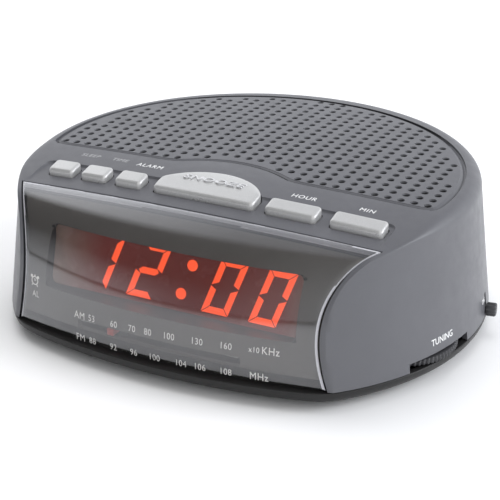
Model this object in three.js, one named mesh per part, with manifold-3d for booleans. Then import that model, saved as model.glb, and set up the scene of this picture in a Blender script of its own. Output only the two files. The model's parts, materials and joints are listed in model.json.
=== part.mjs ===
// A mains clock radio with a round case cut off by a curved front lens.
// X runs to the right, Y to the back and Z up, in millimetres; the origin is on the desk, under the middle
// of the whole radio.
import * as THREE from "three";
import { mergeVertices } from "three/addons/utils/BufferGeometryUtils.js";
import Module from "manifold-3d";

const wasm = await Module();
wasm.setup();

// Driving dimensions of the case.
const BODY_R = 86; // plan radius at the parting line
const CENTRE_Y = -7.25; // centre of the round plan
const FLANK_TAPER = 0.117; // how much the radius shrinks for each millimetre of height
const PARTING_Z = 7.2; // seam between the top and bottom cases
const TOP_Z = 56.5; // highest point of the crowned top
const FLOOR_Z = 2; // underside of the bottom case, which stands on its feet
const WALL = 2.2;
const GAP = 0.3; // clearance between neighbouring pieces
const SHOULDER = 5; // rounding between the flank and the top

// The top falls away from its highest line, and faster towards the lens.
const CROWN_Y = 20;
const CROWN_ACROSS = 0.00028;
const CROWN_ALONG = 0.00045;
const FALL_START_Y = -20;
const FRONT_FALL = 3.13;

// The front lens: a sheet that rolls over from the top, runs down the front and is bowed in plan.
const LENS_TOP_Y = -49.5;
const LENS_TOP_Z = 51.2;
const LENS_REACH = 19; // how far its foot stands in front of its top edge, at its sides
const LENS_BOTTOM_Z = 7.5;
const LENS_BOW = 0.405; // how much further it reaches in the middle
const LENS_HALF_WIDTH = 60;
const LENS_THICK = 1.8;
const PANEL_DEPTH = 2.6; // the dial panel starts this far behind the lens's outer face
const PANEL_THICK = 1.6;

// The chin below the lens is an arc in plan.
const CHIN_Y = -78.75;
const CHIN_R = 211;
const CHIN_LEDGE = 6;

// The loudspeaker grille.
const HOLE_PITCH = 4.7;
const HOLE_ROW_0_Y = -18;
const HOLE_R = 1.15;
const HOLE_SIDES = 4;
const SPEAKER_Y = HOLE_ROW_0_Y + 10 * HOLE_PITCH;
const SPEAKER_R = 33;
const SPEAKER_BASE_Z = 34;

// The row of buttons, in a shallow channel behind the lens.
const CHANNEL_HALF = 67;
const CHANNEL_REAR_Y = -34.5;
const CHANNEL_REAR_Z = 53.2;
const BUTTON_REAR_Y = -36.5;
const BUTTON_FRONT_Y = -43;
const BUTTON_TOP_Z = 56;
const BUTTON_FLANGE_Z = 46.7;
const BUTTON_FOOT_Z = 45.4;
const BUTTON_GAP = 0.35;
const SNOOZE_HALF = 19;
const SNOOZE_BULGE = 11.3;
const SWITCH_TOP_Z = 44.2;
const BUTTON_PCB_Z = 38;
const BUTTONS = [
  { name: "sleep", left: -61.4, right: -51.4 },
  { name: "time", left: -48, right: -38 },
  { name: "alarm", left: -34.2, right: -24 },
  { name: "hour", left: 23.2, right: 41.4 },
  { name: "minute", left: 46.4, right: 64.8 },
];

// Thumbwheels: one on each side, in a slot just above the seam.
const WHEEL_ANGLE = -15.4; // degrees from the X axis, seen from above
const WHEEL_R = 21;
const WHEEL_RIM = 1.5; // how far the rim stands out of the case
const WHEEL_Z = 7.6;
const WHEEL_THICK = 2.4;
const WHEEL_SLOT_HALF = 16;
const WHEEL_SLOT_TOP_Z = 10.3;
const WHEEL_FLUTES = 20;
const WHEEL_HUB_R = 4;
const PCB_Z = 14;
const PCB_THICK = 1.6;

// Slide switches on the flanks: the knob rests at the bottom of its travel.
const SLIDER_ANGLE = 10;
const SLIDER_Z = 9;
const SLIDER_TRAVEL = 3.5;
const SLIDER_KNOB_R = 2.6;
const SLIDER_NECK_HALF = 0.95;
const SLIDER_NECK_RISE = 1.5;
const SLIDER_BODY = { inner: 72, outer: 78.5, half: 4.5, bottom: 5, top: 18 };

// The clock display stands behind its window, leaning back.
const DISPLAY_Z = 31.5;
const DISPLAY_Y = -62;
const DISPLAY_LEAN = 15;
const DISPLAY_THICK = 6;
const WINDOW_HALF = 47;
const WINDOW_BOTTOM_Z = 21.5;
const WINDOW_TOP_Z = 42;

// Battery bay for the clock's back-up battery, in the floor.
const BAY = { left: 25, right: 54, front: 0, rear: 51, roof: 21.6, wall: 1.5 };
const DOOR_THICK = 1.8;

// The dial pointer.
const POINTER_X = -19.5;
const POINTER_Z = 11.7;
const POINTER_RAIL_Y = -65.5;
const POINTER_SLOT = { left: -33, right: 29, bottom: 10, top: 13.4 };

const SCREWS = [
  { name: "rear_left", x: -14, y: 69.5 },
  { name: "rear_right", x: 14, y: 69.5 },
  { name: "side_left", x: -72, y: 22 },
  { name: "side_right", x: 72, y: 22 },
];
const FEET = [
  { name: "front_left", x: -58, y: -42 },
  { name: "front_right", x: 58, y: -42 },
  { name: "rear_left", x: -34, y: 60 },
  { name: "rear_right", x: 34, y: 60 },
];

// The mains cord and the aerial wire leave through the back of the flank.
const CORD_ANGLE = 122;
const CORD_Z = 12;
const CORD_R = 1.7;
const CORD_HOLE_R = 3.8;
const WIRE_ANGLE = 60;
const WIRE_R = 0.8;
const WIRE_HOLE_R = 1.2;

// Inside pieces.
const TRANSFORMER = { x: -41, y: 30, z: 4.3, width: 36, height: 30, stack: 13 };
const FERRITE = { y: 60, z: 20, r: 4.5, half: 35 };
const SCREW_BOSS_R = 5;
const BOSS_TOP_Z = 9;
const SCREW_HEAD_R = 3;
const SCREW_HOLE_R = 1.7;
const SCREW_SHANK_R = 1.4;
const SCREW_SEAT_Z = 6;
const SCREW_HEAD_Z = 4.3;
const SCREW_TIP_Z = 18;
const FOOT_R = 6;

// Blocks used only to cut with reach out to here, well clear of the case.
const FAR = 90;
// Sides given to the large rounds.
const ROUND = 60;

const radians = THREE.MathUtils.degToRad;

// ---- Solids ----

// A closed three.js geometry as a manifold-3d solid.
function solid(geometry) {
  const bare = geometry.clone();
  bare.deleteAttribute("normal");
  bare.deleteAttribute("uv");
  const merged = mergeVertices(bare, 1e-4);
  const corners = merged.index.array;
  const kept = [];
  for (let i = 0; i < corners.length; i += 3) {
    const [a, b, c] = [corners[i], corners[i + 1], corners[i + 2]];
    if (a !== b && b !== c && c !== a) kept.push(a, b, c);
  }
  const make = (triVerts) => {
    const vertProperties = merged.attributes.position.array;
    return new wasm.Manifold(new wasm.Mesh({ numProp: 3, vertProperties, triVerts }));
  };
  const made = make(new Uint32Array(kept));
  return made.volume() > 0 ? made : make(new Uint32Array(kept.reverse()));
}

function geometryOf(body) {
  const mesh = body.getMesh();
  const geometry = new THREE.BufferGeometry();
  geometry.setAttribute("position", new THREE.BufferAttribute(new Float32Array(mesh.vertProperties), 3));
  geometry.setIndex(new THREE.BufferAttribute(new Uint32Array(mesh.triVerts), 1));
  geometry.computeVertexNormals();
  return geometry;
}

function box(x0, x1, y0, y1, z0, z1) {
  const geometry = new THREE.BoxGeometry(x1 - x0, y1 - y0, z1 - z0);
  return solid(geometry.translate((x0 + x1) / 2, (y0 + y1) / 2, (z0 + z1) / 2));
}

// A profile of [radius, height] points turned about the Z axis.
function turnedGeometry(profile, segments) {
  const points = profile.map(([r, z]) => new THREE.Vector2(r, z));
  return new THREE.LatheGeometry(points, segments).rotateX(Math.PI / 2);
}

function turned(profile, segments = 24) {
  return solid(turnedGeometry(profile, segments));
}

function rod(r, z0, z1, segments = 16) {
  return turned([[0, z0], [r, z0], [r, z1], [0, z1]], segments);
}

function polygon(points) {
  return new THREE.Shape(points.map(([u, v]) => new THREE.Vector2(u, v)));
}

// A plan outline raised from z0 to z1.
function raised(shape, z0, z1, curveSegments = 6) {
  const geometry = new THREE.ExtrudeGeometry(shape, { depth: z1 - z0, bevelEnabled: false, curveSegments });
  return solid(geometry.translate(0, 0, z0));
}

// A side outline in Y and Z, stretched along X.
function alongX(shape, x0, x1, steps = 1) {
  const depth = x1 - x0;
  const geometry = new THREE.ExtrudeGeometry(shape, { depth, bevelEnabled: false, steps, curveSegments: 6 });
  const turn = new THREE.Matrix4().makeBasis(
    new THREE.Vector3(0, 1, 0),
    new THREE.Vector3(0, 0, 1),
    new THREE.Vector3(1, 0, 0),
  );
  return geometry.applyMatrix4(turn).translate(x0, 0, 0);
}

function roundedRectangle(x0, x1, y0, y1, r) {
  const shape = new THREE.Shape();
  shape.moveTo(x0 + r, y0);
  shape.absarc(x1 - r, y0 + r, r, -Math.PI / 2, 0);
  shape.absarc(x1 - r, y1 - r, r, 0, Math.PI / 2);
  shape.absarc(x0 + r, y1 - r, r, Math.PI / 2, Math.PI);
  shape.absarc(x0 + r, y0 + r, r, Math.PI, 1.5 * Math.PI);
  return shape;
}

// A fluted disc: its edge steps in and out by `depth`, `count` times.
function flutedOutline(r, depth, count) {
  const points = [];
  for (let i = 0; i < 2 * count; i++) {
    const reach = i % 2 ? r : r - depth;
    const turn = (i / count) * Math.PI;
    points.push([reach * Math.cos(turn), reach * Math.sin(turn)]);
  }
  return polygon(points);
}

// A round cord along a smooth path.
function cord(path, r) {
  const curve = new THREE.CatmullRomCurve3(path.map((p) => new THREE.Vector3(...p)));
  const section = new THREE.Shape().absarc(0, 0, r, 0, 2 * Math.PI);
  const along = { steps: 9, extrudePath: curve, bevelEnabled: false, curveSegments: 4 };
  return solid(new THREE.ExtrudeGeometry(section, along));
}

// Places a solid made in the flank's own directions (outwards, sideways, up) at an angle round the case.
function atFlank(body, angle) {
  const turn = new THREE.Matrix4().makeRotationZ(radians(angle)).setPosition(0, CENTRE_Y, 0);
  return solid(geometryOf(body).applyMatrix4(turn));
}

function placed(body, x, y, z) {
  return solid(geometryOf(body).translate(x, y, z));
}

// ---- The case's shape ----

function flankRadius(z) {
  return BODY_R - FLANK_TAPER * (z - PARTING_Z);
}

// How far the top lies below its highest point.
function topDrop(x, y) {
  const forward = Math.max(0, (FALL_START_Y - y) / (FALL_START_Y - LENS_TOP_Y));
  const along = y - CROWN_Y;
  return CROWN_ACROSS * x * x + CROWN_ALONG * along * along + FRONT_FALL * Math.min(forward, 1.6) ** 1.6;
}

// The round body, inset by `inset` all over; `bed` thickens the top under the buttons.
function puck(inset, bottomZ, segments, bed = 0) {
  const topZ = TOP_Z - inset;
  const round = SHOULDER - inset;
  const shoulderZ = topZ - round;
  const shoulderR = flankRadius(TOP_Z - SHOULDER) - SHOULDER;
  const middleZ = 30;
  const bottomR = flankRadius(bottomZ) - inset;
  const profile = [[0, bottomZ], [bottomR, bottomZ], [flankRadius(middleZ) - inset, middleZ]];
  const facets = 3;
  for (let i = 0; i <= facets; i++) {
    const turn = (i / facets) * (Math.PI / 2);
    profile.push([shoulderR + round * Math.cos(turn), shoulderZ + round * Math.sin(turn)]);
  }
  for (const share of [0.78, 0.5, 0.25, 0]) profile.push([shoulderR * share, topZ]);
  const geometry = turnedGeometry(profile, segments).translate(0, CENTRE_Y, 0);
  const position = geometry.attributes.position;
  for (let i = 0; i < position.count; i++) {
    const [x, y, z] = [position.getX(i), position.getY(i), position.getZ(i)];
    const share = Math.max(0, (z - PARTING_Z) / (topZ - PARTING_Z));
    const forward = THREE.MathUtils.smoothstep(-y, 26, 34);
    // Near the lens the shoulder tightens to an edge.
    const [outR, outZ] = [Math.hypot(x, y - CENTRE_Y), z - shoulderZ];
    const tight = THREE.MathUtils.smoothstep(-y, 18, 44) * 0.75;
    const onShoulder = outR > shoulderR + 1e-3 && outZ > 1e-3;
    const grow = onShoulder ? 1 + (tight * (round - (outR - shoulderR))) / outR : 1;
    const lift = onShoulder ? tight * (round - outZ) : 0;
    const fall = share * (topDrop(x, y) + bed * forward);
    position.setXYZ(i, x * grow, CENTRE_Y + (y - CENTRE_Y) * grow, z + lift - fall);
  }
  return solid(geometry);
}

// A straight column that follows the flank, used to give lens and panel their side edges.
function column(inset) {
  const high = TOP_Z + 13.5;
  const profile = [[0, 0], [flankRadius(0) - inset, 0], [flankRadius(high) - inset, high], [0, high]];
  return placed(turned(profile, ROUND), 0, CENTRE_Y, 0);
}

// The lens's side outline, moved back into the case by `depth`: points from its top edge to its foot.
function lensOutline(depth) {
  const [y, z] = [LENS_TOP_Y, LENS_TOP_Z];
  const curve = new THREE.CubicBezierCurve(
    new THREE.Vector2(y, z),
    new THREE.Vector2(y - 11, z - 1),
    new THREE.Vector2(y - 20, z - 12),
    new THREE.Vector2(y - LENS_REACH, LENS_BOTTOM_Z),
  );
  const count = 7;
  const points = [];
  for (let i = 0; i <= count; i++) {
    const at = curve.getPoint(i / count);
    const along = curve.getTangent(i / count);
    points.push([at.x - depth * along.y, at.y + depth * along.x]);
  }
  return points;
}

// Bows a side outline forward in the middle and lowers it towards the sides, as the lens is.
function bowed(points) {
  const [half, steps] = [75, 10];
  const geometry = alongX(polygon(points), -half, half, steps);
  const position = geometry.attributes.position;
  for (let i = 0; i < position.count; i++) {
    const [x, y, z] = [position.getX(i), position.getY(i), position.getZ(i)];
    const stretch = y < LENS_TOP_Y ? 1 + LENS_BOW * (1 - (x / LENS_HALF_WIDTH) ** 2) : 1;
    const share = THREE.MathUtils.clamp((z - PARTING_Z) / (LENS_TOP_Z - PARTING_Z), 0, 1);
    const newY = LENS_TOP_Y + (y - LENS_TOP_Y) * stretch;
    position.setXYZ(i, x, newY, z - CROWN_ACROSS * x * x * share);
  }
  return solid(geometry);
}

// Everything in front of the lens's outer face, moved back by `depth`.
function frontSpace(depth) {
  const outline = lensOutline(depth);
  const [front, low, high] = [-130, -4, FAR];
  const topEdge = [LENS_TOP_Y, outline[0][1]];
  const foot = outline[outline.length - 1];
  const outside = [[foot[0], low], [front, low], [front, high], [LENS_TOP_Y, high]];
  return bowed([topEdge, ...outline.slice(1), ...outside]);
}

// A sheet that lies between two depths behind the lens's outer face.
function frontSheet(from, to, sideInset, topGap) {
  const sheet = bowed([...lensOutline(from), ...lensOutline(to).reverse()]);
  const behind = box(-FAR, FAR, LENS_TOP_Y - topGap, 0, 0, FAR);
  return sheet.intersect(column(sideInset)).subtract(behind);
}

// ---- Case pieces ----

function snoozeOutline(grow) {
  const half = SNOOZE_HALF + grow;
  const [front, side] = [BUTTON_FRONT_Y - grow, BUTTON_REAR_Y + grow];
  const shape = new THREE.Shape();
  shape.moveTo(-half, front);
  shape.lineTo(half, front);
  shape.lineTo(half, side);
  // The back edge is an arc through both ends, bulging backwards in the middle.
  const arcR = (half * half + SNOOZE_BULGE * SNOOZE_BULGE) / (2 * SNOOZE_BULGE);
  const turn = Math.asin(half / arcR);
  shape.absarc(0, side + SNOOZE_BULGE - arcR, arcR, Math.PI / 2 - turn, Math.PI / 2 + turn);
  return shape;
}

function buttonOutline(button, grow) {
  const corner = 1.2;
  return roundedRectangle(
    button.left - grow,
    button.right + grow,
    BUTTON_FRONT_Y - grow,
    BUTTON_REAR_Y + grow,
    corner,
  );
}

// The holes over the loudspeaker, on the square lattice that covers the whole top.
function grilleHoles() {
  const [rows, columns] = [18, 7];
  const reach = 7.3 * HOLE_PITCH;
  let holes = null;
  for (let row = 4; row < rows; row++) {
    for (let side = -columns; side <= columns; side++) {
      const [x, y] = [side * HOLE_PITCH, HOLE_ROW_0_Y + row * HOLE_PITCH];
      if (Math.hypot(x, y - SPEAKER_Y) > reach) continue;
      const hole = placed(rod(HOLE_R, TOP_Z - 8, TOP_Z + 1, HOLE_SIDES), x, y, 0);
      holes = holes ? holes.add(hole) : hole;
    }
  }
  return holes;
}

// The shallow channel that the buttons stand in: a step at its back, running out level with the lens.
function channel() {
  const profile = [
    [CHANNEL_REAR_Y, CHANNEL_REAR_Z],
    [CHANNEL_REAR_Y, TOP_Z + 5],
    [LENS_TOP_Y - 5, TOP_Z + 5],
    [LENS_TOP_Y - 5, LENS_TOP_Z],
    [LENS_TOP_Y, LENS_TOP_Z],
  ];
  const geometry = alongX(polygon(profile), -CHANNEL_HALF, CHANNEL_HALF, 4);
  const position = geometry.attributes.position;
  for (let i = 0; i < position.count; i++) {
    const x = position.getX(i);
    position.setZ(i, position.getZ(i) - CROWN_ACROSS * x * x);
  }
  return solid(geometry);
}

function wheelSlot(angle) {
  const [inner, outer, half] = [BODY_R - 12, BODY_R + 5, WHEEL_SLOT_HALF];
  return atFlank(box(inner, outer, -half, half, PARTING_Z - 2, WHEEL_SLOT_TOP_Z), angle);
}

function sliderSlot(angle) {
  const half = SLIDER_NECK_HALF + 0.35;
  const high = SLIDER_Z + SLIDER_NECK_RISE + SLIDER_TRAVEL + 1.2;
  return atFlank(box(BODY_R - 5, BODY_R + 5, -half, half, PARTING_Z - 1, high), angle);
}

// A post hanging from the top case, with a pilot hole that a case screw goes up into.
function screwPost(screw) {
  const [r, bottomZ, pilotTop] = [3.5, BOSS_TOP_Z + GAP, SCREW_TIP_Z + 2];
  const post = placed(rod(r, bottomZ, TOP_Z, 12), screw.x, screw.y, 0).intersect(puck(1, 0, 48));
  return post.subtract(placed(rod(SCREW_HOLE_R, bottomZ - 1, pilotTop, 8), screw.x, screw.y, 0));
}

function topCase() {
  const outer = puck(0, PARTING_Z, 54);
  const hollow = puck(WALL, PARTING_Z - 1, 36, 2);
  let shell = outer.subtract(hollow);
  for (const screw of SCREWS) shell = shell.add(screwPost(screw));
  const lensRim = 0.9;
  const pocket = frontSpace(LENS_THICK + GAP).intersect(column(lensRim));
  const behindLens = box(-FAR, FAR, -FAR, LENS_TOP_Y - 1.7, 0, 60).intersect(column(WALL));
  shell = shell.subtract(frontSpace(0)).subtract(pocket).subtract(behindLens);
  shell = shell.subtract(channel()).subtract(grilleHoles());
  const [cutLow, cutHigh] = [40, TOP_Z + 4];
  for (const button of BUTTONS) {
    shell = shell.subtract(raised(buttonOutline(button, BUTTON_GAP), cutLow, cutHigh, 2));
  }
  shell = shell.subtract(raised(snoozeOutline(BUTTON_GAP), cutLow, cutHigh));
  for (const angle of [WHEEL_ANGLE, 180 - WHEEL_ANGLE]) shell = shell.subtract(wheelSlot(angle));
  for (const angle of [SLIDER_ANGLE, 180 - SLIDER_ANGLE]) shell = shell.subtract(sliderSlot(angle));
  shell = shell.subtract(atFlank(flankHole(CORD_HOLE_R, 12), CORD_ANGLE));
  return shell.subtract(atFlank(flankHole(WIRE_HOLE_R, 8), WIRE_ANGLE));
}

// A round hole out through the flank, at the cord's height.
function flankHole(r, segments) {
  const [inner, outer] = [BODY_R - 11, BODY_R + 4];
  return placed(alongRadius([[0, inner], [r, inner], [r, outer], [0, outer]], segments), 0, 0, CORD_Z);
}

// A profile turned about the flank's outward direction: points are [radius, distance outwards].
function alongRadius(profile, segments) {
  return solid(turnedGeometry(profile, segments).rotateY(Math.PI / 2));
}

// The floor tray, with the battery bay and the screw bosses.
function bottomCase() {
  const rimZ = PARTING_Z - GAP;
  const outerProfile = [
    [0, FLOOR_Z], [BODY_R - 7, FLOOR_Z], [BODY_R - 2.5, FLOOR_Z + 0.7],
    [BODY_R - 0.4, FLOOR_Z + 2.6], [BODY_R, rimZ], [0, rimZ],
  ];
  const innerZ = FLOOR_Z + 2;
  const innerR = BODY_R - WALL;
  const innerProfile = [
    [0, innerZ], [innerR - 2.5, innerZ], [innerR - 0.6, innerZ + 1.2], [innerR, rimZ + 1], [0, rimZ + 1],
  ];
  const chin = (r) => placed(rod(r, -1, 20, 160), 0, CHIN_Y + CHIN_R, 0);
  const outer = placed(turned(outerProfile, ROUND), 0, CENTRE_Y, 0).intersect(chin(CHIN_R));
  const hollow = placed(turned(innerProfile, 40), 0, CENTRE_Y, 0).intersect(chin(CHIN_R - CHIN_LEDGE));
  let tray = outer.subtract(hollow);
  const { left, right, front, rear, roof, wall } = BAY;
  tray = tray.add(box(left - wall, right + wall, front - wall, rear + wall, FLOOR_Z, roof + wall));
  tray = tray.subtract(box(left, right, front, rear, FLOOR_Z - 1, roof));
  for (const { x, y } of SCREWS) {
    tray = tray.add(placed(rod(SCREW_BOSS_R, FLOOR_Z, BOSS_TOP_Z, 12), x, y, 0));
    tray = tray.subtract(placed(rod(SCREW_HEAD_R + 0.4, FLOOR_Z - 1, SCREW_SEAT_Z, 12), x, y, 0));
    tray = tray.subtract(placed(rod(SCREW_HOLE_R, SCREW_SEAT_Z - 1, BOSS_TOP_Z + 1, 8), x, y, 0));
  }
  return tray;
}

// The panel behind the lens, with the window and its collar and the pointer's slot.
function dialPanel() {
  const { left, right, bottom, top } = POINTER_SLOT;
  const wall = 1.2;
  const collarRear = DISPLAY_Y + 1.5;
  const outerHalf = WINDOW_HALF + wall;
  const foot = box(-FAR, FAR, -FAR, 0, -10, LENS_BOTTOM_Z + 1.1);
  const collar = box(-outerHalf, outerHalf, -FAR, collarRear, WINDOW_BOTTOM_Z - wall, WINDOW_TOP_Z + wall);
  return frontSheet(PANEL_DEPTH, PANEL_DEPTH + PANEL_THICK, WALL + 0.6, 2)
    .add(collar.subtract(frontSpace(PANEL_DEPTH)))
    .subtract(box(-WINDOW_HALF, WINDOW_HALF, -FAR, LENS_TOP_Y, WINDOW_BOTTOM_Z, WINDOW_TOP_Z))
    .subtract(box(left, right, -FAR, DISPLAY_Y, bottom, top))
    .subtract(foot);
}

// ---- Controls ----

// A cap, the flange that keeps it in the case and a stem down to its switch.
function buttonSolid(outline, flangeOutline, x0, x1) {
  const middle = (x0 + x1) / 2;
  const y = (BUTTON_REAR_Y + BUTTON_FRONT_Y) / 2;
  const drop = CROWN_ACROSS * middle * middle;
  const [above, below, half] = [0.6, 0.5, 1.5];
  const cap = raised(outline, BUTTON_FLANGE_Z, BUTTON_TOP_Z - drop, 3);
  const flange = raised(flangeOutline, BUTTON_FLANGE_Z - drop - below, BUTTON_FLANGE_Z - drop + above, 3);
  const stem = box(middle - half, middle + half, y - half, y + half, BUTTON_FOOT_Z, BUTTON_FLANGE_Z + 0.2);
  return cap.add(flange).add(stem);
}

// A push switch on its board, with a round plunger.
function tactSwitch() {
  const half = 3;
  const bodyTop = SWITCH_TOP_Z - 1.3;
  const plunger = rod(1.7, bodyTop - 1, SWITCH_TOP_Z, 10);
  return box(-half, half, -half, half, BUTTON_PCB_Z + PCB_THICK, bodyTop).add(plunger);
}

// A fluted thumbwheel with its hub, about its own axis.
function thumbwheel() {
  const hubTop = PCB_Z + PCB_THICK + 1.5 - WHEEL_Z;
  const disc = raised(flutedOutline(WHEEL_R, 0.5, WHEEL_FLUTES), 0, WHEEL_THICK);
  return disc.add(rod(WHEEL_HUB_R, 1, hubTop));
}

// The square part that a thumbwheel turns, with a socket for the wheel's hub.
function tunerBlock(width, height) {
  const base = PCB_Z + PCB_THICK + GAP;
  const half = width / 2;
  const socket = rod(WHEEL_HUB_R + 0.4, base - 1, base + 2);
  return box(-half, half, -half, half, base, base + height).subtract(socket);
}

// A round knob on a neck that passes through the flank's slot.
function sliderKnob() {
  const [length, flutes, fluteDepth, standoff] = [3.4, 12, 0.3, 0.7];
  const face = flankRadius(SLIDER_Z + SLIDER_KNOB_R) + standoff;
  const [half, rise] = [SLIDER_NECK_HALF, SLIDER_NECK_RISE];
  const neck = box(SLIDER_BODY.outer + 0.5, face + 1, -half, half, -rise, rise);
  const outline = flutedOutline(SLIDER_KNOB_R, fluteDepth, flutes);
  const knob = new THREE.ExtrudeGeometry(outline, { depth: length, bevelEnabled: false });
  return solid(knob.rotateY(Math.PI / 2).translate(face, 0, 0)).add(neck);
}

// The battery bay's cover, hinged along its rounded front edge.
function batteryDoor() {
  const r = DOOR_THICK / 2;
  const z = FLOOR_Z + r;
  const hinge = BAY.front + GAP + r;
  const shape = new THREE.Shape();
  shape.moveTo(hinge, z + r);
  shape.absarc(hinge, z, r, Math.PI / 2, 1.5 * Math.PI);
  shape.lineTo(BAY.rear - GAP, FLOOR_Z);
  shape.lineTo(BAY.rear - GAP, FLOOR_Z + DOOR_THICK);
  return solid(alongX(shape, BAY.left + GAP, BAY.right - GAP));
}

// A tip that shows in the panel's slot, on a carriage behind it.
function dialPointer() {
  const [half, high, front] = [1.3, 1.2, POINTER_RAIL_Y - 6.5];
  const [carriageHalf, carriageHigh] = [4, 3];
  const rear = POINTER_RAIL_Y - 0.5;
  const carriage = box(-carriageHalf, carriageHalf, rear - 1.5, rear, -carriageHigh, carriageHigh);
  return box(-half, half, front, rear, -high, high).add(carriage);
}

// ---- Inside pieces ----

// A pressed basket, from the flange under the top case down to the magnet.
function speakerFrame() {
  const [neckR, innerR, flangeZ, baseZ] = [14.4, 9, 50, SPEAKER_BASE_Z];
  return turned([
    [neckR, baseZ], [SPEAKER_R - 4, 43], [SPEAKER_R - 3, flangeZ - 2], [SPEAKER_R, flangeZ - 2],
    [SPEAKER_R, flangeZ], [SPEAKER_R - 4.5, flangeZ], [SPEAKER_R - 5.5, 44.5],
    [neckR, baseZ + 2], [innerR, baseZ + 2], [innerR, baseZ], [neckR, baseZ],
  ]);
}

// A paper cone with its dust cap.
function speakerCone() {
  const rimR = SPEAKER_R - 5.2;
  return turned([
    [0, 45.5], [6, 44], [8, 41], [rimR - 1.8, 48.8], [rimR, 49.6],
    [rimR, 50.2], [rimR - 2.8, 50], [8.4, 42], [6.6, 44.8], [0, 46.3],
  ]);
}

function speakerMagnet() {
  const [r, height, gapZ] = [14, 9.7, 0.3];
  const [top, poleR, poleTop] = [SPEAKER_BASE_Z - gapZ, 7, SPEAKER_BASE_Z + 4];
  const bottom = top - height;
  return turned([[0, bottom], [r, bottom], [r, top], [poleR, top], [poleR, poleTop], [0, poleTop]], 20);
}

// A laminated shell core: a middle leg, two side legs and the yokes that join them.
function transformerCore() {
  const { width, height, stack } = TRANSFORMER;
  const leg = width / 3;
  const yoke = 5.5;
  const gapWidth = 6.6;
  let core = box(-width / 2, width / 2, -stack / 2, stack / 2, 0, height);
  for (const start of [-leg / 2 - gapWidth, leg / 2]) {
    core = core.subtract(box(start, start + gapWidth, -stack, stack, yoke, height - yoke));
  }
  return core;
}

// The taped winding round the middle leg.
function transformerWinding() {
  const { width, height, stack } = TRANSFORMER;
  const [half, depth] = [12.3, 13];
  const [innerHalf, innerDepth, low] = [width / 6 + GAP, stack / 2 + GAP, 5.8];
  const outer = box(-half, half, -depth, depth, low, height - low);
  return outer.subtract(box(-innerHalf, innerHalf, -innerDepth, innerDepth, 0, height));
}

function mainPcb() {
  const hole = (side) => placed(rod(WHEEL_HUB_R + 0.6, 10, 20, 12), side * wheelAxis.x, wheelAxis.y, 0);
  return box(-70, 70, -46, -3, PCB_Z, PCB_Z + PCB_THICK).subtract(hole(1)).subtract(hole(-1));
}

// A rubber sleeve round the cord, with a flange on each side of the wall.
function strainRelief() {
  const [bore, neck, innerFlange, outerFlange] = [CORD_R + GAP, CORD_HOLE_R - 0.4, 5, 4.3];
  const [start, innerEnd, outerStart, outerEnd, tip] = [80, 81.8, BODY_R + 0.4, BODY_R + 2, BODY_R + 8];
  return alongRadius([
    [bore, start], [innerFlange, start], [innerFlange, innerEnd], [neck, innerEnd], [neck, outerStart],
    [outerFlange, outerStart], [outerFlange, outerEnd], [bore + 0.9, tip], [bore, tip], [bore, start],
  ], 12);
}

// The contact plate at the rear of the battery bay, with the two studs of a square battery's clip.
function batteryContacts() {
  const [x, z, thick] = [(BAY.left + BAY.right) / 2, 12.5, 1.9];
  const front = BAY.rear - GAP - thick;
  const plate = box(x - 12, x + 12, front, BAY.rear - GAP, z - 6, z + 6);
  const [spacing, length] = [6.4, 2.4];
  const stud = (side, r) => {
    const along = turnedGeometry([[0, -1], [r, -1], [r, length], [0, length]], 12).rotateX(Math.PI / 2);
    return solid(along.translate(x + side * spacing, front, z));
  };
  return plate.add(stud(-1, 2.6)).add(stud(1, 3.4));
}

function ferriteRod() {
  const { r, half } = FERRITE;
  return turned([[0, -half], [r, -half], [r, half], [0, half]], 12);
}

function aerialCoil() {
  const [inner, outer, half] = [FERRITE.r + GAP, FERRITE.r + 1.1, 8];
  return turned([[inner, -half], [outer, -half], [outer, half], [inner, half], [inner, -half]], 16);
}

function foot() {
  return turned([[0, 0], [FOOT_R - 0.5, 0], [FOOT_R, FLOOR_Z], [0, FLOOR_Z]], 12);
}

function screw() {
  const seat = SCREW_SEAT_Z - GAP;
  return turned([
    [0, SCREW_HEAD_Z], [SCREW_HEAD_R, SCREW_HEAD_Z], [SCREW_HEAD_R, seat],
    [SCREW_SHANK_R, seat], [SCREW_SHANK_R, SCREW_TIP_Z], [0, SCREW_TIP_Z],
  ], 8);
}

// ---- Assembly ----

function plastic(color, roughness, more = {}) {
  return new THREE.MeshStandardMaterial({ color, roughness, metalness: 0, ...more });
}

function metal(color, roughness, metalness = 0.8) {
  return new THREE.MeshStandardMaterial({ color, roughness, metalness });
}

const finish = {
  charcoal: plastic(0x55565c, 0.62),
  base: plastic(0x4a4644, 0.4),
  silver: metal(0xc4c6c8, 0.38, 0.35),
  smoke: plastic(0x55524e, 0.08, { opacity: 0.4, transparent: true }),
  panel: plastic(0x3a3836, 0.7),
  black: plastic(0x1b1b1d, 0.55),
  red: plastic(0xd8351f, 0.4),
  board: plastic(0x9a7440, 0.6),
  steel: metal(0xa8a8a6, 0.35),
  core: metal(0x6d6a66, 0.5),
  tape: plastic(0xd2b13c, 0.5),
  paper: plastic(0x26241f, 0.9),
  ferrite: plastic(0x39363a, 0.6),
  copper: metal(0xb5652f, 0.35),
  rubber: plastic(0x222222, 0.9),
};

const wheelReach = BODY_R + WHEEL_RIM - WHEEL_R;
const wheelAxis = new THREE.Vector2(
  wheelReach * Math.cos(radians(WHEEL_ANGLE)),
  CENTRE_Y + wheelReach * Math.sin(radians(WHEEL_ANGLE)),
);

function addTo(parent, name, body, material, x = 0, y = 0, z = 0) {
  const mesh = new THREE.Mesh(geometryOf(body), material);
  mesh.name = name;
  mesh.position.set(x, y, z);
  parent.add(mesh);
  return mesh;
}

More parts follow.
